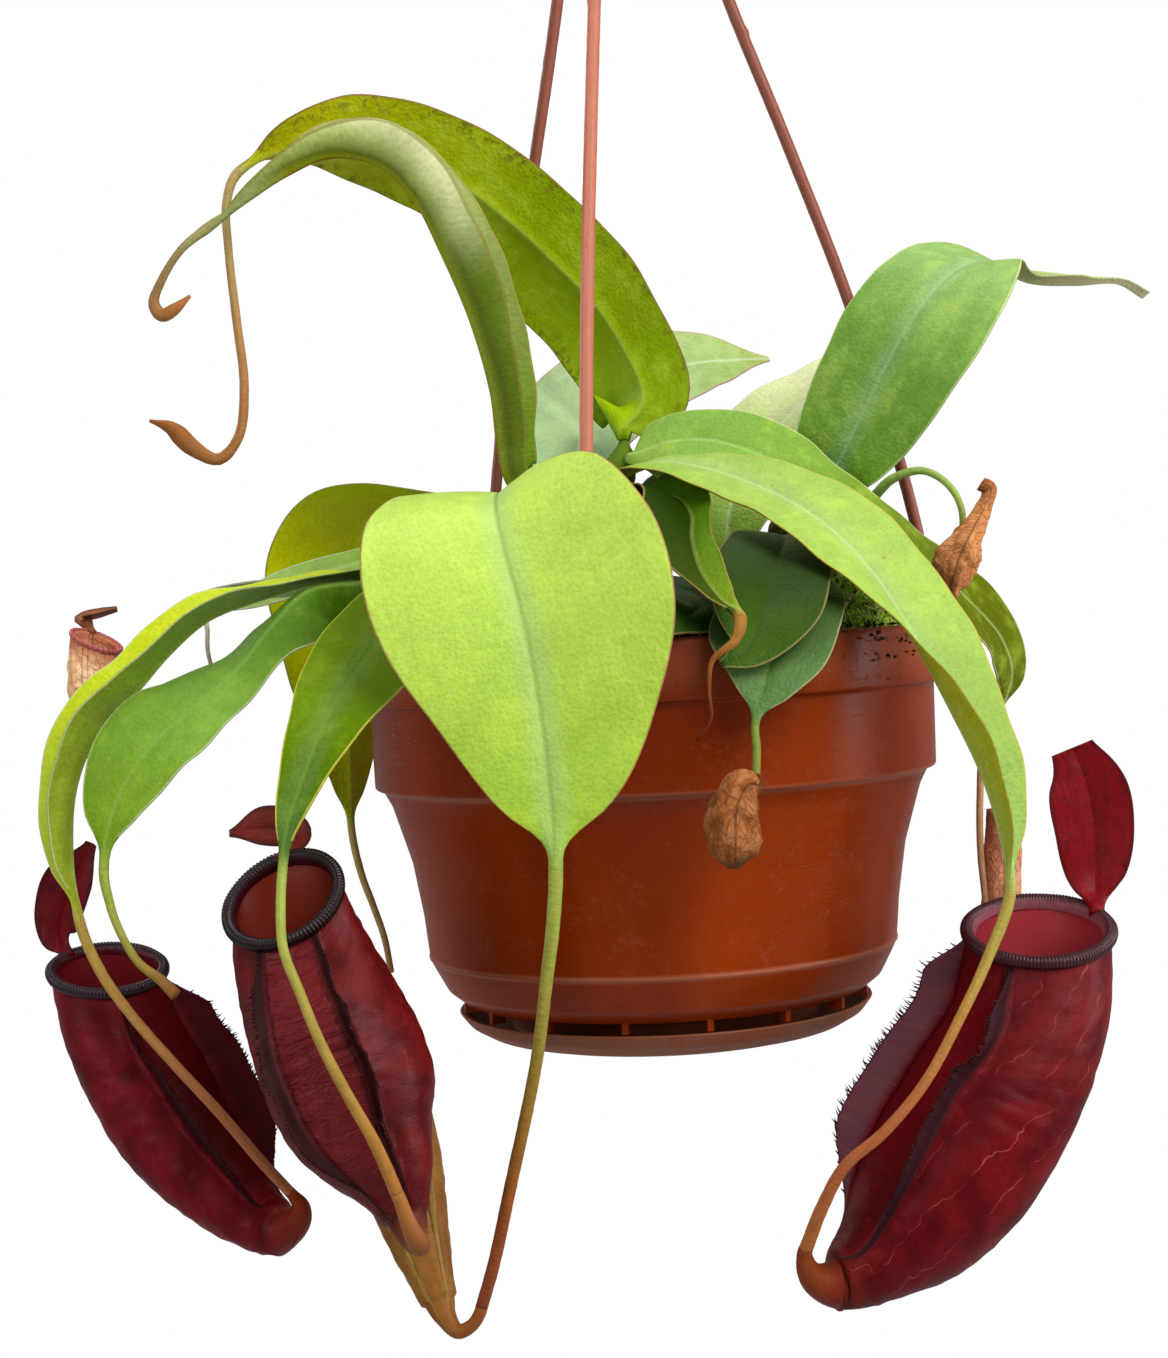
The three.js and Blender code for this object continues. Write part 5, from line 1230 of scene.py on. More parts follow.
def leaf_marks(finish, look, colours, colour, blade, edge, broad):
    """The colour with mottling by the margin, rust and specks, where the look has them."""
    if look.get("blotch"):
        mottled = finish.noise(blade, 420, 4, 0.7).rising(0.5, 0.62)
        near_edge = edge.falling(0.0005, 0.007) * (0.4 + broad) * look["blotch"]
        colour = finish.mix(mottled * near_edge.limited(), colour, colours.brown)
    if look.get("rust"):
        spots = finish.cells(blade, 330).falling(0.08, 0.2)
        some = finish.noise(blade, 120, 1).rising(0.62, 0.66) * look["rust"]
        colour = finish.mix(spots * some, colour, colours.rust)
    if look.get("specks"):
        specks = finish.cells(blade, 520).falling(0.06, 0.14)
        some = finish.noise(blade, 160, 2).rising(0.56, 0.6) * look["specks"]
        colour = finish.mix(specks * some, colour, colours.dust)
    return colour


def tendril_shade(finish, codes, blade, share):
    """The tendril's colours from the blade's tip to its own end, streaked along its length."""
    stalk = finish.ramp(share - 1, spread(codes, 0.1, 0.95))
    streaks = finish.noise(finish.scaled(blade, (0.15, 1.0, 1.0)), 1600, 3, 0.6)
    return finish.shaded(stalk, 0.65 + streaks * 0.7)


def leaf_finish(name, look, colours):
    """Green with ripples across the veins, a paler midrib and underside, and a coloured margin."""
    finish = Finish(name, Specular_IOR_Level=look.get("gloss", LEAF_GLOSS))
    blade, spot = finish.reading("blade"), finish.reading("spot")
    distance, across = finish.axis(blade, 0), finish.axis(blade, 1)
    share, edge, level = (finish.axis(spot, i) for i in range(3))
    broad = finish.noise(blade, 70, 2)
    patches = finish.noise(blade, 260, 3)
    grain = finish.noise(blade, 1500, 3, 0.7)
    ripples = finish.noise(finish.scaled(blade, (1.0, 0.22, 1.0)), 900, 3, 0.6, 0.6)
    ripples = (ripples - 0.5) * look.get("rippled", 1) + 0.5
    veins = finish.noise(finish.scaled(blade, (0.08, 1.0, 1.0)), 700, 2, 0.5)
    under = finish.ramp(share, spread(look.get("under", look["top"]), 0, 0.97))
    top = finish.ramp(share, spread(look["top"], 0, 0.97))
    colour = finish.mix(level.rising(-0.3, 0.3), under, top)
    pebbles = finish.cells(blade, 1100)
    light = 1 + (broad - 0.5) * 0.4 + (patches - 0.5) * 0.18 + (grain - 0.5) * 0.2
    light = light + (ripples - 0.5) * 0.2 + (veins - 0.5) * 0.12 + (pebbles - 0.45) * 0.2
    # Painted light: the right half of the blade is made lighter near the base.
    if look.get("painted_base_light"):
        right = across.rising(-0.0006, 0.0006) * share.falling(0.15, 0.45)
        light = light * (1 + right * look["painted_base_light"])
    # Painted shade: the right half of the blade is made darker.
    if look.get("shaded_right_half"):
        light = light * (1 - across.rising(0, 0.0006) * (1 - look["shaded_right_half"]))
    colour = finish.shaded(colour, light)
    yellowing = (broad + patches - 1).rising(-0.05, 0.35) * look.get("yellow", 0.25)
    colour = finish.mix(yellowing, colour, colours.yellowed)
    # Painted highlight: a pale bluish band beside the midrib.
    if look.get("painted_sheen"):
        band = abs(across).falling(0.001, 0.0055) * (0.3 + patches * 0.6) * look["painted_sheen"] * 0.5
        colour = finish.mix(band, colour, colours.painted_sheen)
    if look.get("dust"):
        dusty = (broad * 0.7 + patches * 0.4).rising(0.4, 0.75) * look["dust"] * 0.6
        colour = finish.mix(dusty, colour, colours.dust)
    rib = abs(across).falling(0.0001, 0.0009) * look.get("ribbed", 0.45)
    colour = finish.mix(rib, colour, tone(look["rib"]))
    # Painted shade and a painted highlight across the arched underside.
    if look.get("low_bands"):
        bands = finish.shaded(painted_arch_bands(finish, look, share, across, broad), light)
        colour = finish.mix(level.falling(-0.3, 0.3) * share.falling(0.84, 0.95), colour, bands)
    colour = leaf_marks(finish, look, colours, colour, blade, edge, broad)
    margin = edge.falling(0.0002, 0.0005) * (0.45 + patches * 0.6)
    colour = finish.mix(margin.limited(), colour, tone(look["margin"]))
    if look.get("tendril"):
        stalk = tendril_shade(finish, look["tendril"], blade, share)
        colour = finish.mix(share.rising(0.965, 1.01), colour, stalk)
    height = ripples * 0.4 + grain * 0.25 + veins * 0.3 + patches * 0.5 - pebbles * 0.6
    roughness = look["roughness"] + (patches - 0.5) * 0.25 + (ripples - 0.5) * 0.2
    return finish.dress(colour, roughness, height, 0.00022)


def pitcher_finish(name, colours, look):
    """Leathery skin: bright near the tail, dull wings, pale branching veins, the red inside, and
    painted shade by the wings.
    """
    body, low, panel, wings, tail, inside = (tone(code) for code in look["skin"])
    veined = look["veined"]
    finish = Finish(name, Specular_IOR_Level=look["gloss"])
    skin, part = finish.reading("skin"), finish.reading("part")
    share, turn, rise = (finish.axis(part, i) for i in range(3))
    broad = finish.noise(skin, 90, 3)
    leather = finish.noise(finish.scaled(skin, (1.6, 0.8, 1.0)), 520, 4, 0.65, 0.4)
    grain = finish.noise(skin, 2200, 2, 0.6)
    creases = finish.noise(finish.scaled(skin, (1.5, 0.35, 1.0)), 330, 3, 0.55, 0.8)
    bent = finish.noise(skin, 130, 2)
    course = finish.axis(skin, 1) * 900 - finish.axis(skin, 0) * 420 + bent * 9
    branches = abs(finish.maths("FRACT", course * 0.11) - 0.5).falling(0.004, 0.022)
    branches = branches * finish.noise(skin, 90, 2).rising(0.4, 0.6) * veined
    colour = finish.mix(broad.rising(0.3, 0.7), low, body)
    # A pale bloom high on the body, partly a painted sheen.
    bloom = share.rising(0.45, 0.95) * (broad * 0.6 + leather * 0.5) * veined
    colour = finish.mix(bloom.limited() * 0.1, colour, colours.pale_vein)
    colour = finish.mix(branches * 0.5, colour, colours.pale_vein)
    between = abs(turn).falling(0.15, 0.19) * share.rising(0.05, 0.25)
    colour = finish.mix(between * 0.9, colour, panel)
    # Painted shade in the creases at the wings' roots.
    painted_crease_shade = abs(abs(turn) - 0.17).falling(0.005, 0.03) * share.rising(0.05, 0.25)
    colour = finish.mix(painted_crease_shade * 0.6, colour, colours.groove)
    colour = finish.mix(rise.rising(0.02, 0.35) * 0.85, colour, wings)
    # Painted shade on the near wing, seen edge on.
    near_wing_shade = rise.rising(0.02, 0.35) * (turn * look["near"]).rising(0.05, 0.1)
    colour = finish.mix(near_wing_shade * 0.8, colour, colours.groove)
    colour = finish.shaded(colour, 0.7 + leather * 0.6)
    colour = finish.mix(share.falling(-0.9, 0.1) * 0.95, colour, tail)
    colour = finish.mix(rise.falling(-0.9, -0.2), colour, inside)
    folded = abs(creases - 0.5).rising(0, 0.16) * (0.1 + between * 0.9)
    folded = folded * look["wrinkles"]
    height = (leather * 0.4 + grain * 0.1 + folded - branches * 0.1) * rise.rising(-0.9, -0.2)
    roughness = 0.4 + (leather - 0.5) * 0.3 + rise.rising(0, 0.3) * 0.2
    return finish.dress(colour, roughness, height, 0.00022)


def lip_finish(name, shades):
    """Dark and glossy, with paler ribs that redden towards the inside."""
    dark, rib, inner = (tone(code) for code in shades)
    finish = Finish(name, Specular_IOR_Level=0.3)
    part = finish.reading("part")
    share, crest = finish.axis(part, 0), finish.axis(part, 1)
    spots = finish.noise(finish.place(), 700, 3)
    colour = finish.mix(crest.rising(0.1, 1) * 0.4, dark, rib)
    colour = finish.mix(share.rising(0.6, 0.95) * 0.8, colour, inner)
    colour = finish.shaded(colour, 0.65 + spots * 0.7)
    return finish.dress(colour, 0.22 + spots * 0.25, spots, 0.0001)


def lid_finish(name, shades):
    """Deep crimson with a darker margin and fine veins."""
    red, dark, underside = (tone(code) for code in shades)
    finish = Finish(name, Specular_IOR_Level=0.14)
    blade, spot = finish.reading("blade"), finish.reading("spot")
    edge, level = finish.axis(spot, 1), finish.axis(spot, 2)
    mottle = finish.noise(blade, 380, 4, 0.65)
    veins = finish.noise(finish.scaled(blade, (0.2, 1.0, 1.0)), 900, 2)
    colour = finish.mix(mottle.rising(0.4, 0.75) * 0.6, red, dark)
    colour = finish.mix(level.falling(-0.3, 0.3) * 0.7, colour, underside)
    colour = finish.mix(edge.falling(0.0003, 0.0014) * 0.8, colour, dark)
    colour = finish.shaded(colour, 0.75 + veins * 0.5)
    return finish.dress(colour, 0.35 + mottle * 0.25, veins * 0.6 + mottle * 0.6, 0.0003)


def withered_finish(name, shades, share_at):
    """Papery and fibrous, darker at both ends, with brown specks.

    share_at says which number of the reading is the share from end to end.
    """
    pale, brown, ends = (tone(code) for code in shades)
    finish = Finish(name, Specular_IOR_Level=0.15)
    skin, part = finish.reading("skin"), finish.reading("part")
    share = finish.axis(part, share_at)
    fibres = finish.noise(finish.scaled(skin, (0.15, 1.0, 0.0)), 1500, 4, 0.7)
    patches = finish.noise(finish.place(), 260, 4, 0.65, 0.5)
    net = finish.cells(finish.scaled(skin, (0.6, 1.0, 0.0)), 700, "DISTANCE_TO_EDGE").falling(0, 0.12)
    specks = finish.cells(finish.place(), 700).falling(0.12, 0.26)
    some = finish.noise(finish.place(), 200, 2).rising(0.48, 0.58)
    colour = finish.mix(patches.rising(0.4, 0.65), pale, brown)
    colour = finish.mix(net * 0.35, colour, ends)
    darker = (share.falling(0, 0.16) + share.rising(0.8, 1.0)).limited()
    colour = finish.mix(darker * 0.8, colour, ends)
    colour = finish.mix(specks * some * 0.7, colour, ends)
    colour = finish.shaded(colour, 0.85 + fibres * 0.3)
    height = fibres * 0.4 + patches * 0.7 + net * 0.3
    return finish.dress(colour, 0.75 + fibres * 0.15, height, 0.0004)


# Where dust settles on the pot, below the rim.
SHOULDER = -34
RIDGE = -75


def height_on_pot(finish):
    """How high a point is, in millimetres from the rim."""
    return finish.axis(finish.place(), 2) * (1 / MILLIMETRE) + HOOK_SEAT


def pot_finish(name, colours):
    """Moulded plastic: faint flow marks, fine scratches, dust on the ledges, soil near the rim."""
    finish = Finish(name, Specular_IOR_Level=0.12)
    place = finish.place()
    height_up = height_on_pot(finish)
    sideways = finish.axis(place, 0)
    flow = finish.noise(finish.scaled(place, (1.0, 1.0, 0.25)), 22, 3, 0.5, 0.6)
    fine = finish.noise(place, 900, 3, 0.6)
    scratches = finish.noise(finish.scaled(place, (0.3, 0.3, 3.0)), 700, 2, 0.6, 0.3).rising(0.62, 0.72)
    blots = finish.noise(place, 160, 3, 0.6)
    colour = finish.mix(flow.rising(0.3, 0.7), colours.pot, colours.pot_deep)
    colour = finish.mix(height_up.rising(-16, -6) * 0.35, colour, colours.pot_rim)
    dusty = (blots * fine).rising(0.26, 0.46) * 0.1
    colour = finish.mix(dusty, colour, colours.pot_dust)
    ledge = abs(height_up - SHOULDER).falling(0.2, 1.4) + abs(height_up - RIDGE).falling(0.2, 1.2)
    colour = finish.mix(ledge.limited() * 0.35, colour, colours.pot_dust)
    by_moss = sideways.rising(0.034, 0.046) * height_up.rising(-18, 0)
    soiled = finish.noise(place, 420, 4, 0.7).rising(0.56, 0.64) * by_moss
    colour = finish.mix(soiled * 0.85, colour, colours.peat)
    grime = finish.noise(place, 300, 4, 0.7).rising(0.6, 0.7) * height_up.rising(-60, 0) * 0.3
    colour = finish.mix(grime, colour, colours.peat)
    roughness = 0.3 + (blots - 0.5) * 0.2 + scratches * 0.15 + dusty * 0.6 + soiled * 0.4
    return finish.dress(colour, roughness, fine * 0.25 + flow * 0.8 - scratches * 0.3, 0.00012)


def saucer_finish(name, colours):
    """The same plastic gone dull, with a film of dried water and dust."""
    finish = Finish(name, Specular_IOR_Level=0.2)
    place = finish.place()
    film = finish.noise(place, 60, 4, 0.6, 0.5)
    fine = finish.noise(place, 800, 3)
    colour = finish.mix(film.rising(0.35, 0.65), colours.saucer, colours.saucer_film)
    colour = finish.shaded(colour, 0.85 + fine * 0.3)
    return finish.dress(colour, 0.42 + film * 0.25, film * 0.6 + fine * 0.3, 0.00012)


def strand_finish(name, light, dark, marked="#4a2c20"):
    """Drawn plastic: a painted highlight runs along one side, and small marks break the colour."""
    finish = Finish(name, Specular_IOR_Level=0.5)
    part = finish.reading("part")
    length = finish.scaled(part, (0.25, 6.0, 1.0))
    drawn = finish.noise(length, 300, 3, 0.6)
    marks = finish.noise(finish.place(), 500, 3, 0.6)
    # groove here is the reading of the painted highlight along the strand, not its groove.
    groove = finish.axis(part, 2)
    colour = finish.mix(groove * 0.5 + drawn * 0.3, dark, light)
    colour = finish.mix(marks.rising(0.66, 0.72) * 0.6, colour, tone(marked))
    colour = finish.shaded(colour, 0.85 + marks * 0.3)
    return finish.dress(colour, 0.38 + drawn * 0.15, drawn * 0.5 + marks * 0.5, 0.00015)


def bristle_finish(name):
    """Near black, reddening here and there."""
    finish = Finish(name, Specular_IOR_Level=0.2)
    turns = finish.noise(finish.place(), 400, 2)
    colour = finish.mix(turns.rising(0.35, 0.7), tone("#1c0608"), tone("#4c1418"))
    return finish.dress(colour, 0.5)


YOUNG_BARK = "#5c7a1c"
GREENING = 6


def ground_finish(name, shades, scale, rise, green_from=None):
    """Peat, moss or bark: three shades broken up at two sizes, and young and green higher up."""
    dark, mid, light = (tone(code) for code in shades)
    finish = Finish(name, Specular_IOR_Level=0.1)
    place = finish.place()
    lumps = finish.noise(place, scale, 4, 0.7)
    crumbs = finish.noise(place, scale * 4, 3, 0.65)
    colour = finish.mix(lumps.rising(0.35, 0.6), dark, mid)
    colour = finish.mix(crumbs.rising(0.52, 0.7), colour, light)
    if green_from is not None:
        young = height_on_pot(finish).rising(green_from, green_from + GREENING)
        colour = finish.mix(young * 0.9, colour, tone(YOUNG_BARK))
    return finish.dress(colour, 0.8 + crumbs * 0.15, lumps + crumbs * 0.5, rise)


# Pot, saucer, soil and hanger

POT_PROFILE = (
    (0, -86), (32, -86), (32, -92.6), (35, -92.6), (35, -86), (48.8, -86.2), (52.8, -83),
    (55.7, -77.5), (56.5, -75.8), (57.1, -75.1), (56.8, -74.4), (57.7, -65), (59.8, -52),
    (64, -38), (66, -34.2), (67.9, -33.7), (68.2, -13.9), (70, -13.5), (70, -0.7), (69.3, 0),
    (68.2, 0), (66.6, -13), (66.2, -32), (60.5, -44), (57.8, -54), (55.3, -72), (53.3, -80),
    (49.3, -84), (0, -84),
)
SAUCER_PROFILE = (
    (0, -95.5), (38.5, -95.5), (43.6, -94.3), (48, -91.8), (50.4, -88.7), (48.9, -88.7),
    (46.6, -91.2), (43, -93), (37.2, -93), (37.2, -88.2), (35.3, -88.2), (35.3, -93), (0, -93),
)
CLIP_OUTLINE = (
    (73.4, -7), (73.4, 3.4), (65.2, 3.4), (65.2, -3.8), (66.9, -3.8), (66.9, 0.3),
    (70.3, 0.3), (70.3, -7),
)
HUB_PROFILE = ((0, 232), (6.5, 232), (6.5, 233.4), (5, 239), (0, 239))
DRAIN_HOLES = 4
DRAIN_REACH = 22
DRAIN_RADIUS = 4
DRILL_SIDES = 24
SLOT_RIBS = 16
STRAND_COLUMNS = 24
STRAND_NUBS = (74, 151)
HOOK_RADIUS = 13
HOOK_HEIGHT = 264
WIRE_RADIUS = 2.3


def rounded(outline, cut, closed=False):
    """An outline whose corners are cut back and bridged by a short curve."""
    outline = [np.asarray(corner, float) for corner in outline]
    result = []
    for i, corner in enumerate(outline):
        if not closed and i in (0, len(outline) - 1):
            result.append(corner)
            continue
        before, after = outline[i - 1], outline[(i + 1) % len(outline)]
        back = min(cut, 0.45 * np.linalg.norm(before - corner))
        ahead = min(cut, 0.45 * np.linalg.norm(after - corner))
        first = corner + unit(before - corner) * back
        last = corner + unit(after - corner) * ahead
        for share in (0, 0.33, 0.67, 1):
            bend = first * (1 - share) ** 2 + corner * 2 * share * (1 - share) + last * share**2
            result.append(bend)
    return result


def turned(profile, columns=160):
    """A profile turned round the pot's axis."""
    rings = []
    for radius, height in profile:
        turns = np.arange(columns) * 2 * math.pi / columns
        rings.append(np.stack([
            radius * np.cos(turns), radius * np.sin(turns), np.full(columns, height)], 1))
    return rings


def clean_normals(piece):
    """All faces look outwards."""
    mesh = piece.data
    shape = bmesh.new()
    shape.from_mesh(mesh)
    bmesh.ops.remove_doubles(shape, verts=shape.verts, dist=1e-7)
    bmesh.ops.recalc_face_normals(shape, faces=shape.faces)
    shape.to_mesh(mesh)
    shape.free()
    return piece


def add_block(points, faces, size, middle, turn):
    """A small box, turned round the pot's axis."""
    start = len(points)
    cos, sin = math.cos(math.radians(turn)), math.sin(math.radians(turn))
    for x in (-0.5, 0.5):
        for y in (-0.5, 0.5):
            for z in (-0.5, 0.5):
                out, beside = middle[0] + x * size[0], middle[1] + y * size[1]
                height = middle[2] + z * size[2]
                points.append((out * cos - beside * sin, out * sin + beside * cos, height))
    for face in ((0, 1, 3, 2), (4, 6, 7, 5), (0, 4, 5, 1), (2, 3, 7, 6), (0, 2, 6, 4), (1, 5, 7, 3)):
        faces.append(tuple(start + corner for corner in face))


def drill_piece(finish):
    """The straight rods that cut the drain holes."""
    points, faces = [], []
    for i in range(DRAIN_HOLES):
        angle = math.radians(45 + 90 * i)
        start = len(points)
        for height in (-89, -82):
            for turn in even_angles(DRILL_SIDES):
                x = DRAIN_REACH * math.cos(angle) + DRAIN_RADIUS * math.cos(turn)
                y = DRAIN_REACH * math.sin(angle) + DRAIN_RADIUS * math.sin(turn)
                points.append((x, y, height))
        faces.append(tuple(start + corner for corner in reversed(range(DRILL_SIDES))))
        faces.append(tuple(start + DRILL_SIDES + corner for corner in range(DRILL_SIDES)))
        faces += [tuple(start + i for i in face) for face in ring_faces(2, DRILL_SIDES)]
    return make_piece("drill", points, faces, finish)


def pot_piece(finish):
    """The pot with its drain holes and the small ribs over the saucer."""
    points, faces = loft(turned(rounded(POT_PROFILE, 0.6)), ends=False)
    pot = clean_normals(make_piece("pot_moulded", points, faces, finish))
    drill = drill_piece(finish)
    cut = pot.modifiers.new("drain_holes", "BOOLEAN")
    cut.object = drill
    cut.operation = "DIFFERENCE"
    apply_modifiers(pot)
    bpy.data.objects.remove(drill)
    ribs, rib_faces = [], []
    for i in range(SLOT_RIBS):
        turn = -101 + 360 / SLOT_RIBS * i
        add_block(ribs, rib_faces, (3.6, 1.4, 3.4), (47.5, 0, -86.7), turn)
    return pot, make_piece("pot_slot_ribs", ribs, rib_faces, finish, flat=True)


def apply_modifiers(piece):
    """The piece keeps the shape that its modifiers give it."""
    settled = piece.evaluated_get(bpy.context.evaluated_depsgraph_get())
    mesh = bpy.data.meshes.new_from_object(settled)
    piece.modifiers.clear()
    piece.data = mesh


def strand_piece(name, turn, finish):
    """A drawn strand with a shallow groove, moulding nubs, and the clip over the rim."""
    route = Route([(reach, 0, height) for reach, height in STRAND_ROUTE])
    rings, readings = [], []
    for share, centre, tangent, distance in route.places(0, route.last, 150):
        side = np.array((0, 1, 0), float)
        out = np.cross(side, tangent)
        nub = 0.35 * sum(math.exp(-((distance - at) / 0.8) ** 2) for at in STRAND_NUBS)
        ring = []
        for angle in even_angles(STRAND_COLUMNS):
            groove = 0.35 * math.exp(-((math.sin(angle) / 0.28) ** 2)) * (math.cos(angle) > 0)
            radius = STRAND_RADIUS - groove + nub * max(0, math.sin(angle + share * 3))
            radius += 0.05 * noise.noise(Vector((distance * 0.3, math.cos(angle), turn)))
            ring.append(centre + radius * (out * math.cos(angle) + side * math.sin(angle)))
            # A painted highlight: a lighter band along one side of the strand.
            shine = math.exp(-(((math.sin(angle) - 0.3) / 0.4) ** 2))
            readings.append((distance * MILLIMETRE, angle * 0.0015, shine))
        rings.append(np.array(ring))
    strand_points, faces = loft(rings)
    readings += [readings[0], readings[-1]]
    outline = rounded(CLIP_OUTLINE, 0.7, closed=True)
    start = len(strand_points)
    for width, inset in ((-3, 0.3), (-2.7, 0), (2.7, 0), (3, 0.3)):
        middle = np.mean(outline, axis=0)
        for corner in outline:
            x, z = corner + unit(middle - corner) * inset
            strand_points.append((x, width, z))
            readings.append((x * MILLIMETRE, z * 0.0002, 0.4))
    count = len(outline)
    faces += [tuple(start + i for i in face) for face in ring_faces(4, count)]
    faces.append(tuple(start + i for i in range(count - 1, -1, -1)))
    faces.append(tuple(start + 3 * count + i for i in range(count)))
    cos, sin = math.cos(math.radians(turn)), math.sin(math.radians(turn))
    turned_points = [(x * cos - y * sin, x * sin + y * cos, z) for x, y, z in strand_points]
    return clean_normals(make_piece(name, turned_points, faces, finish, {"part": readings}))


def hook_piece(finish):
    """The hub that gathers the strands, and the open hook that rises from it."""
    points, faces = loft(turned(rounded(HUB_PROFILE, 0.7), 48), ends=False)
    course = [(0, 0, 234), (2, 0, 242), (10, 0, 252)]
    for angle in (-10, 25, 60, 90, 120, 155, 190):
        x = HOOK_RADIUS * math.cos(math.radians(angle))
        course.append((x, 0, HOOK_HEIGHT + HOOK_RADIUS * math.sin(math.radians(angle))))
    route = Route(course)
    rings = []
    for share, centre, tangent, _ in route.places(0, route.last, 110):
        side = np.array((0, 1, 0), float)
        out = np.cross(side, tangent)
        radius = WIRE_RADIUS * (1 - 0.6 * ease(share, 0.985, 1) ** 2)
        turns = np.arange(24) * math.pi / 12
        rings.append(centre + radius * (np.outer(np.cos(turns), out) + np.outer(np.sin(turns), side)))
    wire, wire_faces = loft(rings)
    start = len(points)
    points = list(points) + list(wire)
    faces += [tuple(start + i for i in face) for face in wire_faces]
    readings = [(point[2] * MILLIMETRE, point[0] * 0.0002, 0.3) for point in points]
    piece = make_piece("hanger_hub_and_hook", points, faces, finish, {"part": readings})
    return clean_normals(piece)


def stem_piece(name, stem, finish, seed):
    """A short stem with leaf scars and a blunt growing tip."""
    base, top = np.array(stem["base"], float), np.array(stem["top"], float)
    rings = []
    for i in range(61):
        share = 1.05 * i / 60
        size = 1 - 0.7 * ease(share, 0.95, 1.05)
        centre = base + (top - base) * share
        ring = []
        for angle in even_angles(32):
            spot = Vector((math.cos(angle), math.sin(angle), share * 5 + seed))
            scar = 0.25 * math.sin(share * 40 + 2 * angle) ** 8
            radius = (stem["radius"] * (1 + 0.06 * noise.noise(spot * 2)) - 0.15 + scar * 0.5) * size
            ring.append(centre + radius * np.array((math.cos(angle), math.sin(angle), 0)))
        rings.append(np.array(ring))
    return make_piece(name, *loft(rings), finish)


def soil_height(radius, angle):
    """The peat's surface: the mound of the packed soil, roughened."""
    reaches, heights = zip(*SOIL_PROFILE)
    height = float(np.interp(radius, reaches, heights))
    x, y = radius * math.cos(angle), radius * math.sin(angle)
    rough = noise.noise(Vector((x * 0.11, y * 0.11, 3))) * 1.1
    rough += noise.noise(Vector((x * 0.5, y * 0.5, 7))) * 0.7
    return height + rough * (1 - 0.6 * ease(radius, 58, 66))


def soil_piece(finish):
    """The filling, rough on top and smooth down the pot's wall."""
    rings = []
    columns = 200
    for radius in [*np.linspace(0.4, 60, 52), *np.linspace(61, 66.4, 9)]:
        ring = []
        for angle in even_angles(columns):
            height = soil_height(radius, angle)
            ring.append((radius * math.cos(angle), radius * math.sin(angle), height))
        rings.append(np.array(ring))
    wall = ((66.2, -13), (65.8, -32), (60.1, -44), (57.4, -54), (54.9, -72), (49, -83.7))
    rings += turned(wall, columns)
    return make_piece("soil_filling", *loft(rings), finish)


MOSS_HEART = (46, -21)
MOSS_SHARE = 0.6
MOSS_RISE = 12
SOIL_REACH = 66


def near_moss(x, y, breadth, length):
    """1 in the heart of the moss, falling to 0 round it."""
    return math.exp(-(((x - MOSS_HEART[0]) / breadth) ** 2) - ((y - MOSS_HEART[1]) / length) ** 2)


def moss_height(x, y):
    """The soil's surface with the cushion of moss on it, by the right of the rim."""
    radius = math.hypot(x, y)
    near = near_moss(x, y, 13, 19)
    lumps = noise.noise(Vector((x * 0.22, y * 0.22, 5)))
    lumps += 0.5 * noise.noise(Vector((x * 0.6, y * 0.6, 9)))
    rise = (MOSS_RISE + 3.5 * lumps) * near * (1 - ease(radius, 60, 66))
    return soil_height(radius, math.atan2(y, x)) + rise


def cushion_piece(name, finish):
    """The body of the moss, under its shoots."""
    rings = []
    for i in range(26):
        share = i / 25
        ring = []
        for angle in even_angles(90):
            x = MOSS_HEART[0] + 20 * share * math.cos(angle)
            y = MOSS_HEART[1] + 28 * share * math.sin(angle)
            radius = max(math.hypot(x, y) / 65.8, 1)
            x, y = x / radius, y / radius
            ring.append((x, y, moss_height(x, y) - 0.1 - 1.5 * share**4))
        rings.append(np.array(ring))
    return make_piece(name, *loft(rings), finish)


def moss_spot(dice):
    """A place on the soil, more often in the cushion by the right of the rim."""
    if dice.random() < MOSS_SHARE:
        x, y = dice.gauss(MOSS_HEART[0], 10), dice.gauss(MOSS_HEART[1], 17)
    else:
        radius, angle = SOIL_REACH * math.sqrt(dice.random()), dice.uniform(0, 6.283)
        x, y = radius * math.cos(angle), radius * math.sin(angle)
    return (x, y) if math.hypot(x, y) < SOIL_REACH else moss_spot(dice)


def moss_piece(name, finish, seed, count, lengths, thickness, lean):
    """Shoots of moss, each a sprig of short spikes."""
    dice = random.Random(seed)
    points, faces = [], []
    for _ in range(count):
        x, y = moss_spot(dice)
        root = np.array((x, y, moss_height(x, y) - 0.4))
        length = dice.uniform(*lengths) * (0.45 + 0.75 * near_moss(x, y, 16, 24))
        way = unit(np.array((dice.gauss(0, lean), dice.gauss(0, lean), 1)))
        bend = np.array((dice.gauss(0, 0.3), dice.gauss(0, 0.3), -0.1))
        add_hair(points, faces, root, way, length, thickness, bend)
        for _ in range(3):
            share = dice.uniform(0.2, 0.8)
            spread = unit(way + np.array([dice.gauss(0, 0.8) for _ in range(3)]))
            foot = root + way * length * share
            add_hair(points, faces, foot, spread, length * 0.4, thickness, bend * 0)
    return make_piece(name, points, faces, finish)


# An uneven lump with twelve corners.
LUMP_CORNERS = (
    (0, 0, 1), (0.94, 0, 0.3), (0.3, 0.9, 0.3), (-0.76, 0.55, 0.3), (-0.76, -0.55, 0.3),
    (0.3, -0.9, 0.3), (0.7, 0.5, -0.5), (-0.3, 0.8, -0.5), (-0.9, 0, -0.5), (-0.3, -0.8, -0.5),
    (0.7, -0.5, -0.5), (0, 0, -1),
)
LUMP_FACES = (
    (0, 1, 2), (0, 2, 3), (0, 3, 4), (0, 4, 5), (0, 5, 1), (1, 6, 2), (2, 7, 3), (3, 8, 4),
    (4, 9, 5), (5, 10, 1), (6, 7, 2), (7, 8, 3), (8, 9, 4), (9, 10, 5), (10, 6, 1),
    (11, 7, 6), (11, 8, 7), (11, 9, 8), (11, 10, 9), (11, 6, 10),
)


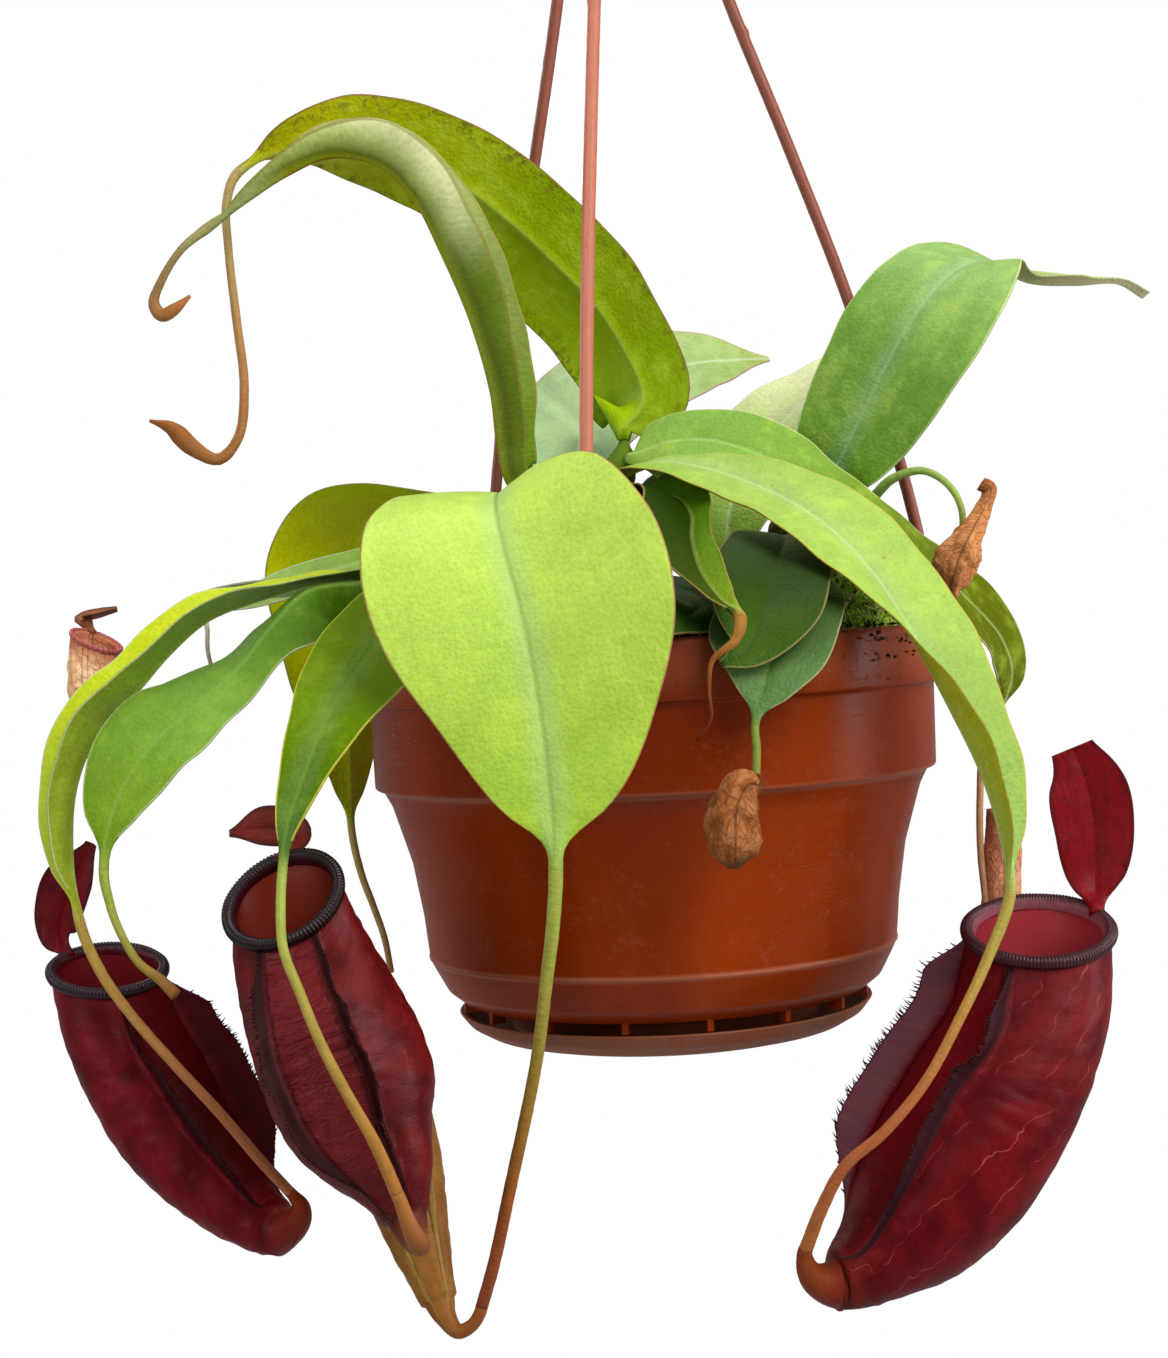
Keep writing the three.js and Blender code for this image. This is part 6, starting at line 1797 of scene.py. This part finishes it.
def crumb_piece(name, finish, seed, count, size, spot):
    """Loose crumbs of peat and bark, each an uneven lump."""
    dice = random.Random(seed)
    points, faces = [], []
    for _ in range(count):
        centre = np.array(spot(dice))
        scale = dice.uniform(*size)
        stretch = (dice.uniform(0.5, 1.5), dice.uniform(0.5, 1.2), dice.uniform(0.4, 0.9))
        spin = Matrix.Rotation(dice.uniform(0, 6.283), 3, "Z")
        spin = spin @ Matrix.Rotation(dice.uniform(-0.8, 0.8), 3, "X")
        start = len(points)
        for corner in LUMP_CORNERS:
            lump = Vector([c * s * scale * dice.uniform(0.75, 1.2) for c, s in zip(corner, stretch)])
            points.append(centre + np.array(spin @ lump))
        faces += [tuple(start + i for i in face) for face in LUMP_FACES]
    return make_piece(name, points, faces, finish, flat=True)


def on_soil(dice):
    """On the peat or the moss."""
    x, y = moss_spot(dice)
    return (x, y, moss_height(x, y) + 0.2)


RIM_INSIDE = 67.5


def on_rim(dice):
    """On the rim and just below it, where soil has trailed over at the right of the front."""
    angle = math.radians(dice.gauss(-38, 9))
    down = abs(dice.gauss(0, 5)) if dice.random() < 0.35 else 0
    if down > 0.8:
        radius = POT_RADIUS + 0.2
        return (radius * math.cos(angle), radius * math.sin(angle), -down)
    radius = dice.uniform(POT_RADIUS - 4.5, POT_RADIUS)
    return (radius * math.cos(angle), radius * math.sin(angle), 0.5 if radius > RIM_INSIDE else -1)


# What a user may change


def colour_property(name, description, code):
    """A colour that a user may change."""
    return bpy.props.FloatVectorProperty(
        name=name, description=description, subtype="COLOR", size=3, min=0, max=1,
        default=tone(code))


def length_property(name, description, default):
    """A small length that a user may change."""
    return bpy.props.FloatProperty(
        name=name, description=description, unit="LENGTH", default=default, min=0, max=0.01,
        precision=5)


class PlantSizes(bpy.types.PropertyGroup):
    """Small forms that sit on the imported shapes."""

    margin_wave: length_property("Margin wave", "How far a leaf's margin rises and falls", 0.00035)
    leather: length_property("Leather", "How uneven the pitchers' skin is", 0.0003)
    wrinkle: length_property("Wrinkle", "Depth of the folds between two wings", 0.0006)
    rib_spacing: length_property("Rib spacing", "From one rib of a collar to the next", 0.0008)
    rib_height: length_property("Rib height", "How far a rib stands up", 0.0001)
    bristle: length_property("Bristle", "Length of the bristles on the wings", 0.002)
    moss_low: length_property("Moss, shortest", "The shortest shoots of moss", 0.002)
    moss_high: length_property("Moss, longest", "The longest shoots of moss", 0.0065)
    moss_shoots: bpy.props.IntProperty(
        name="Moss shoots", description="How many shoots the moss has", default=2600, min=0)
    crumbs: bpy.props.IntProperty(
        name="Crumbs", description="How many crumbs lie on the soil", default=900, min=0)


class PlantColours(bpy.types.PropertyGroup):
    """Colours that several pieces share."""

    yellowed: colour_property("Yellowed leaf", "Where a leaf turns yellow", "#b9cf4a")
    # A painted highlight beside the midrib.
    painted_sheen: colour_property("Leaf sheen", "The bluish band beside the midrib", "#8fb59a")
    dust: colour_property("Bloom", "The pale bloom on a leaf", "#b4c8a4")
    brown: colour_property("Mottling", "Brown mottling and specks", "#5c4a1c")
    rust: colour_property("Rust", "Orange brown spots", "#a8642c")
    pale_vein: colour_property("Pale veins", "Branching veins on a pitcher", "#a85a5c")
    # Painted shade: in the creases by the wings and on the near wing.
    groove: colour_property("Groove", "Between a pitcher's wings", "#200408")
    pot: colour_property("Pot", "The pot's plastic", "#8c3002")
    pot_deep: colour_property("Pot, deeper", "Darker flow in the pot's plastic", "#742300")
    pot_rim: colour_property("Pot rim", "The paler band under the rim", "#a85c40")
    pot_dust: colour_property("Pot dust", "Dust on the pot's ledges", "#a87458")
    peat: colour_property("Peat", "Soil smeared on the pot", "#2a1e12")
    saucer: colour_property("Saucer", "The saucer's plastic", "#84401c")
    saucer_film: colour_property("Saucer film", "Dried water on the saucer", "#845038")


def sizes():
    """The small forms' sizes as they are set in the scene."""
    return bpy.context.scene.plant_sizes


def colours():
    """The shared colours as they are set in the scene."""
    return bpy.context.scene.plant_colours


# Operators


class PLANT_OT_pot(bpy.types.Operator):
    """Make the pot and the saucer"""

    bl_idname = "plant.pot"
    bl_label = "Pot and saucer"

    def execute(self, context):
        pot, ribs = pot_piece(pot_finish("pot_plastic", colours()))
        settle(pot, "pot_plastic", "pot")
        settle(ribs, "pot_plastic")
        points, faces = loft(turned(rounded(SAUCER_PROFILE, 0.6)), ends=False)
        finish = saucer_finish("saucer_plastic", colours())
        saucer = clean_normals(make_piece("saucer_moulded", points, faces, finish))
        settle(saucer, "saucer_plastic", "saucer")
        return {"FINISHED"}


class PLANT_OT_hanger(bpy.types.Operator):
    """Make the three strands, and the hub with its hook"""

    bl_idname = "plant.hanger"
    bl_label = "Hanger"

    def execute(self, context):
        salmon = strand_finish("strand_front_plastic", tone("#d08468"), tone("#b0583e"))
        russet = strand_finish("strand_plastic", tone("#a85a44"), tone("#7c3a28"))
        for side, turn in STRAND_ANGLES.items():
            finish = salmon if side == "front" else russet
            strand = strand_piece(f"strand_{side}", turn, finish)
            settle(strand, "hanger_plastic", f"hanger_strand_{side}")
        settle(hook_piece(salmon), "hanger_plastic", "hanger_hook")
        return {"FINISHED"}


class PLANT_OT_soil(bpy.types.Operator):
    """Make the peat, the moss and the crumbs on it"""

    bl_idname = "plant.soil"
    bl_label = "Soil and moss"

    def execute(self, context):
        peat = ground_finish("peat", ("#1f170d", "#3c2e1a", "#6a5634"), 260, 0.0012)
        green = ground_finish("moss", ("#6c9020", "#9cc43c", "#c8e468"), 900, 0.0002)
        cushion = ground_finish("moss_cushion", ("#4c6418", "#7c9c28", "#a8c840"), 500, 0.0006)
        fibre = ground_finish("dry_moss", ("#8a7a44", "#c0b078", "#e0d8a8"), 900, 0.0002)
        settle(soil_piece(peat), "soil", "soil")
        lengths = (sizes().moss_low / MILLIMETRE, sizes().moss_high / MILLIMETRE)
        shoots = sizes().moss_shoots
        settle(cushion_piece("moss_cushion", cushion), "soil")
        settle(moss_piece("moss_green", green, 4, shoots, lengths, 0.16, 0.35), "soil")
        settle(moss_piece("moss_dry", fibre, 5, shoots // 4, lengths, 0.1, 0.9), "soil")
        crumbs = crumb_piece("peat_crumbs", peat, 6, sizes().crumbs, (0.4, 1.5), on_soil)
        settle(crumbs, "soil")
        settle(crumb_piece("rim_crumbs", peat, 7, 120, (0.2, 0.65), on_rim), "soil")
        return {"FINISHED"}


class PLANT_OT_stems(bpy.types.Operator):
    """Make the two stems"""

    bl_idname = "plant.stems"
    bl_label = "Stems"

    def execute(self, context):
        bark = ("#4a3c1c", "#6c6030", "#8a7a4a")
        finish = ground_finish("stem_bark", bark, 500, 0.0003, green_from=34)
        settle(stem_piece("stem_main_bark", MAIN_STEM, finish, 1), "stem", "stem_main")
        settle(stem_piece("stem_side_bark", SIDE_STEM, finish, 2), "stem", "stem_side")
        return {"FINISHED"}


LEAF_SLOTS = {
    "leaf_back_arch": "olive_leaf", "leaf_left_rear": "olive_leaf", "leaf_pale_back": "pale_leaf",
    "leaf_back": "pale_leaf", "leaf_small_left": "pale_leaf", "leaf_tip_left": "pale_leaf",
    "leaf_lower_left": "dark_leaf", "leaf_young_curled": "dark_leaf",
    "leaf_young_round": "dark_leaf", "leaf_young_front": "dark_leaf",
    "leaf_young_dark": "dark_leaf",
}


class PLANT_OT_leaves(bpy.types.Operator):
    """Make every leaf with its tendril"""

    bl_idname = "plant.leaves"
    bl_label = "Leaves"

    def execute(self, context):
        for seed, (name, leaf) in enumerate(LEAVES.items()):
            finish = leaf_finish(f"{name}_green", LEAF_LOOKS[name], colours())
            wave = sizes().margin_wave / MILLIMETRE
            piece = leaf_piece(f"{name}_blade", leaf, finish, seed, wave)
            settle(piece, LEAF_SLOTS.get(name, "green_leaf"), name)
        return {"FINISHED"}


# The skin's colours are the body, its darker patches, the panel between the wings, the wings,
# the tail and the inside. near is the side, -1 or 1, whose wing gets painted shade, or 0.
PITCHER_LOOKS = {
    "pitcher_left": {
        "skin": ("#74101a", "#500610", "#500408", "#440a10", "#7c2c14", "#6c1418"),
        "wrinkles": 0.4, "veined": 0.3, "gloss": 0.08, "near": -1, "slot": "pitcher_skin",
        "lip": ("#24121a", "#3c2028", "#5c141c"), "lid": ("#6c0410", "#3c040a", "#4c060c"),
        "bristle": 0.7,
    },
    "pitcher_front_left": {
        "skin": ("#640e10", "#440608", "#6c1c20", "#200608", "#9a6230", "#6a1c0c"),
        "wrinkles": 1.3, "veined": 0.2, "gloss": 0.12, "near": 0, "slot": "pitcher_skin",
        "lip": ("#140406", "#300c10", "#400c10"), "lid": ("#702014", "#40120c", "#54180c"),
        "bristle": 0.7,
    },
    "pitcher_right": {
        "skin": ("#6c0e14", "#4c060a", "#5c080e", "#5c343c", "#803c1c", "#9c3038"),
        "wrinkles": 0.35, "veined": 0.9, "gloss": 0.07, "near": 1, "slot": "pitcher_skin",
        "lip": ("#341018", "#54242c", "#a8606a"), "lid": ("#7c0410", "#50040c", "#60060e"),
        "bristle": 1.1,
    },
    "pitcher_behind": {
        "skin": ("#8f6428", "#7a4a20", "#8a5c28", "#8f7438", "#844820", "#6a3418"),
        "wrinkles": 0.8, "veined": 0.2, "gloss": 0.1, "near": 0, "slot": "tan_pitcher",
        "lip": ("#3c2414", "#5c3a20", "#6a3c20"),
    },
}


class PLANT_OT_pitchers(bpy.types.Operator):
    """Make the open pitchers with their collars, lids and bristles"""

    bl_idname = "plant.pitchers"
    bl_label = "Open pitchers"

    def execute(self, context):
        size = sizes()
        leather, wrinkle = size.leather / MILLIMETRE, size.wrinkle / MILLIMETRE
        spacing, rib = size.rib_spacing / MILLIMETRE, size.rib_height / MILLIMETRE
        bristle = bristle_finish("bristles")
        for seed, (name, look) in enumerate(PITCHER_LOOKS.items()):
            pitcher = PITCHERS[name]
            slot = look["slot"]
            finish = pitcher_finish(f"{name}_skin", colours(), look)
            folds = wrinkle * look["wrinkles"]
            settle(pitcher_body(f"{name}_body", pitcher, finish, seed, leather, folds), slot, name)
            lip = pitcher_lip(
                f"{name}_collar", pitcher, lip_finish(f"{name}_collar", look["lip"]), spacing, rib)
            settle(lip, slot)
            if "lid" in look:
                finish = lid_finish(f"{name}_lid", look["lid"])
                lid = leaf_piece(f"{name}_lid", lid_leaf(pitcher), finish, seed + 40, 0.5, 50)
                settle(lid, slot)
            if "bristle" in look:
                length = size.bristle / MILLIMETRE * look["bristle"]
                settle(pitcher_fringe(f"{name}_bristles", pitcher, bristle, seed, length), slot)
        return {"FINISHED"}


class PLANT_OT_withered(bpy.types.Operator):
    """Make the withered pitchers"""

    bl_idname = "plant.withered"
    bl_label = "Withered pitchers"

    def execute(self, context):
        peach = ("#f8d0a0", "#dca068", "#b05038")
        brown = ("#a86a3c", "#84481c", "#502a10")
        tan = ("#dc9870", "#bc7854", "#8f5438")
        orange = ("#ce8953", "#b27240", "#7f4623")
        pitcher = PITCHERS["pitcher_dry_left"]
        finish = withered_finish("dry_left_skin", peach, share_at=0)
        body = pitcher_body("pitcher_dry_left_body", pitcher, finish, 8, 0.5, 0.3)
        settle(body, "dry_pitcher", "pitcher_dry_left")
        collar = lip_finish("dry_left_collar", ("#a04848", "#c07468", "#8a3430"))
        settle(pitcher_lip("pitcher_dry_left_collar", pitcher, collar, 1.2, 0.08), "dry_pitcher")
        finish = lid_finish("dry_left_lid", ("#8a5434", "#5c3420", "#7c4428"))
        lid = leaf_piece("pitcher_dry_left_lid", lid_leaf(pitcher), finish, 48, 0.9, 40)
        settle(lid, "dry_pitcher")
        for seed, (name, bag) in enumerate(BAGS.items()):
            shades = {"pitcher_dry_rear": tan, "pitcher_dry_right": orange}.get(name, brown)
            finish = withered_finish(f"{name}_skin", shades, share_at=2)
            settle(withered_piece(f"{name}_bag", bag, finish, seed), "dry_pitcher", name)
        return {"FINISHED"}


DAYLIGHT = 0.3
FLOOR_DROP = 1.2
# Each light's place from the middle of the model, its width and its power.
LIGHTS = {
    "key_light": ((0.7, -0.85, 0.8), 0.9, 19),
    "side_light": ((1.05, -0.2, -0.05), 0.5, 5),
    "top_light": ((-0.1, 0.15, 1.1), 0.8, 6),
    "fill_light": ((-0.85, -0.85, 0.2), 0.7, 5),
    "rear_light": ((-0.9, 0.7, 0.3), 0.5, 3),
}


class PLANT_OT_stage(bpy.types.Operator):
    """Set up the floor, the soft light and the camera"""

    bl_idname = "plant.stage"
    bl_label = "Stage"

    def execute(self, context):
        scene = context.scene
        low, high = MODEL_BOX
        middle = (low + high) / 2
        self.make_floor(scene, (middle.x, 0, low.z - FLOOR_DROP))
        self.make_world(scene)
        for name, (where, size, power) in LIGHTS.items():
            light = bpy.data.lights.new(name, "AREA")
            light.size = size
            light.energy = power
            lamp = bpy.data.objects.new(name, light)
            lamp.location = middle + Vector(where)
            lamp.rotation_euler = (-Vector(where)).to_track_quat("-Z", "Y").to_euler()
            scene.collection.objects.link(lamp)
        scene.view_settings.view_transform = "Standard"
        self.make_camera(scene)
        return {"FINISHED"}

    def make_floor(self, scene, place):
        """A wide pale disc, well below the hanging plant."""
        mesh = bpy.data.meshes.new("floor")
        shape = bmesh.new()
        bmesh.ops.create_circle(shape, cap_ends=True, segments=96, radius=2)
        shape.to_mesh(mesh)
        shape.free()
        floor = bpy.data.objects.new("floor", mesh)
        floor.location = place
        finish = Finish("floor", Roughness=0.8)
        tint = finish.noise(finish.place(), 3, 2)
        finish.dress(finish.mix(tint, (0.88, 0.88, 0.87), (0.92, 0.92, 0.91)))
        mesh.materials.append(finish.material)
        scene.collection.objects.link(floor)

    def make_world(self, scene):
        """White to the camera, and a soft light of its own on the plant."""
        world = bpy.data.worlds.new("studio")
        world.use_nodes = True
        background = world.node_tree.nodes["Background"]
        background.inputs["Color"].default_value = (1, 1, 1, 1)
        sky = Nodes(world.node_tree)
        seen = sky.node("ShaderNodeLightPath", {}, {})
        sky.feed(background.inputs["Strength"], seen * (1 - DAYLIGHT) + DAYLIGHT)
        scene.world = world

    def make_camera(self, scene):
        """The camera stands where the photograph was taken from."""
        eye, target = (Vector(in_model(spot)) for spot in (CAMERA_EYE, CAMERA_TARGET))
        roll = math.radians(CAMERA_ROLL)
        ahead = (target - eye).normalized()
        level = ahead.cross(Vector((0, 0, 1))).normalized()
        upright = level.cross(ahead)
        right = level * math.cos(roll) - upright * math.sin(roll)
        up = level * math.sin(roll) + upright * math.cos(roll)
        lens = bpy.data.cameras.new("camera")
        lens.sensor_width = SENSOR
        lens.lens = PHOTO_FOCAL / PHOTO_HEIGHT * SENSOR
        lens.clip_start = 0.01
        camera = bpy.data.objects.new("camera", lens)
        turn = Matrix((right, up, -ahead)).transposed().to_4x4()
        camera.matrix_world = Matrix.Translation(eye) @ turn
        scene.collection.objects.link(camera)
        scene.camera = camera


class PLANT_PT_panel(bpy.types.Panel):
    """Lists the pieces, sizes and colours of the plant"""

    bl_idname = "PLANT_PT_panel"
    bl_label = "Pitcher Plant"
    bl_space_type = "VIEW_3D"
    bl_region_type = "UI"
    bl_category = "Pitcher Plant"

    def draw(self, context):
        column = self.layout.column()
        for operator in OPERATORS:
            column.operator(operator.bl_idname)
        for group in (context.scene.plant_sizes, context.scene.plant_colours):
            for name in group.__annotations__:
                column.prop(group, name)


OPERATORS = (
    PLANT_OT_stage, PLANT_OT_pot, PLANT_OT_hanger, PLANT_OT_soil, PLANT_OT_stems,
    PLANT_OT_leaves, PLANT_OT_pitchers, PLANT_OT_withered,
)
CLASSES = (PlantSizes, PlantColours, *OPERATORS, PLANT_PT_panel)


def register():
    for item in CLASSES:
        bpy.utils.register_class(item)
    bpy.types.Scene.plant_sizes = bpy.props.PointerProperty(type=PlantSizes)
    bpy.types.Scene.plant_colours = bpy.props.PointerProperty(type=PlantColours)


def unregister():
    del bpy.types.Scene.plant_colours
    del bpy.types.Scene.plant_sizes
    for item in reversed(CLASSES):
        bpy.utils.unregister_class(item)


def main():
    """Makes the whole plant."""
    register()
    bpy.ops.plant.stage()
    bpy.ops.plant.pot()
    bpy.ops.plant.hanger()
    bpy.ops.plant.soil()
    bpy.ops.plant.stems()
    bpy.ops.plant.leaves()
    bpy.ops.plant.pitchers()
    bpy.ops.plant.withered()


if __name__ == "__main__":
    main()
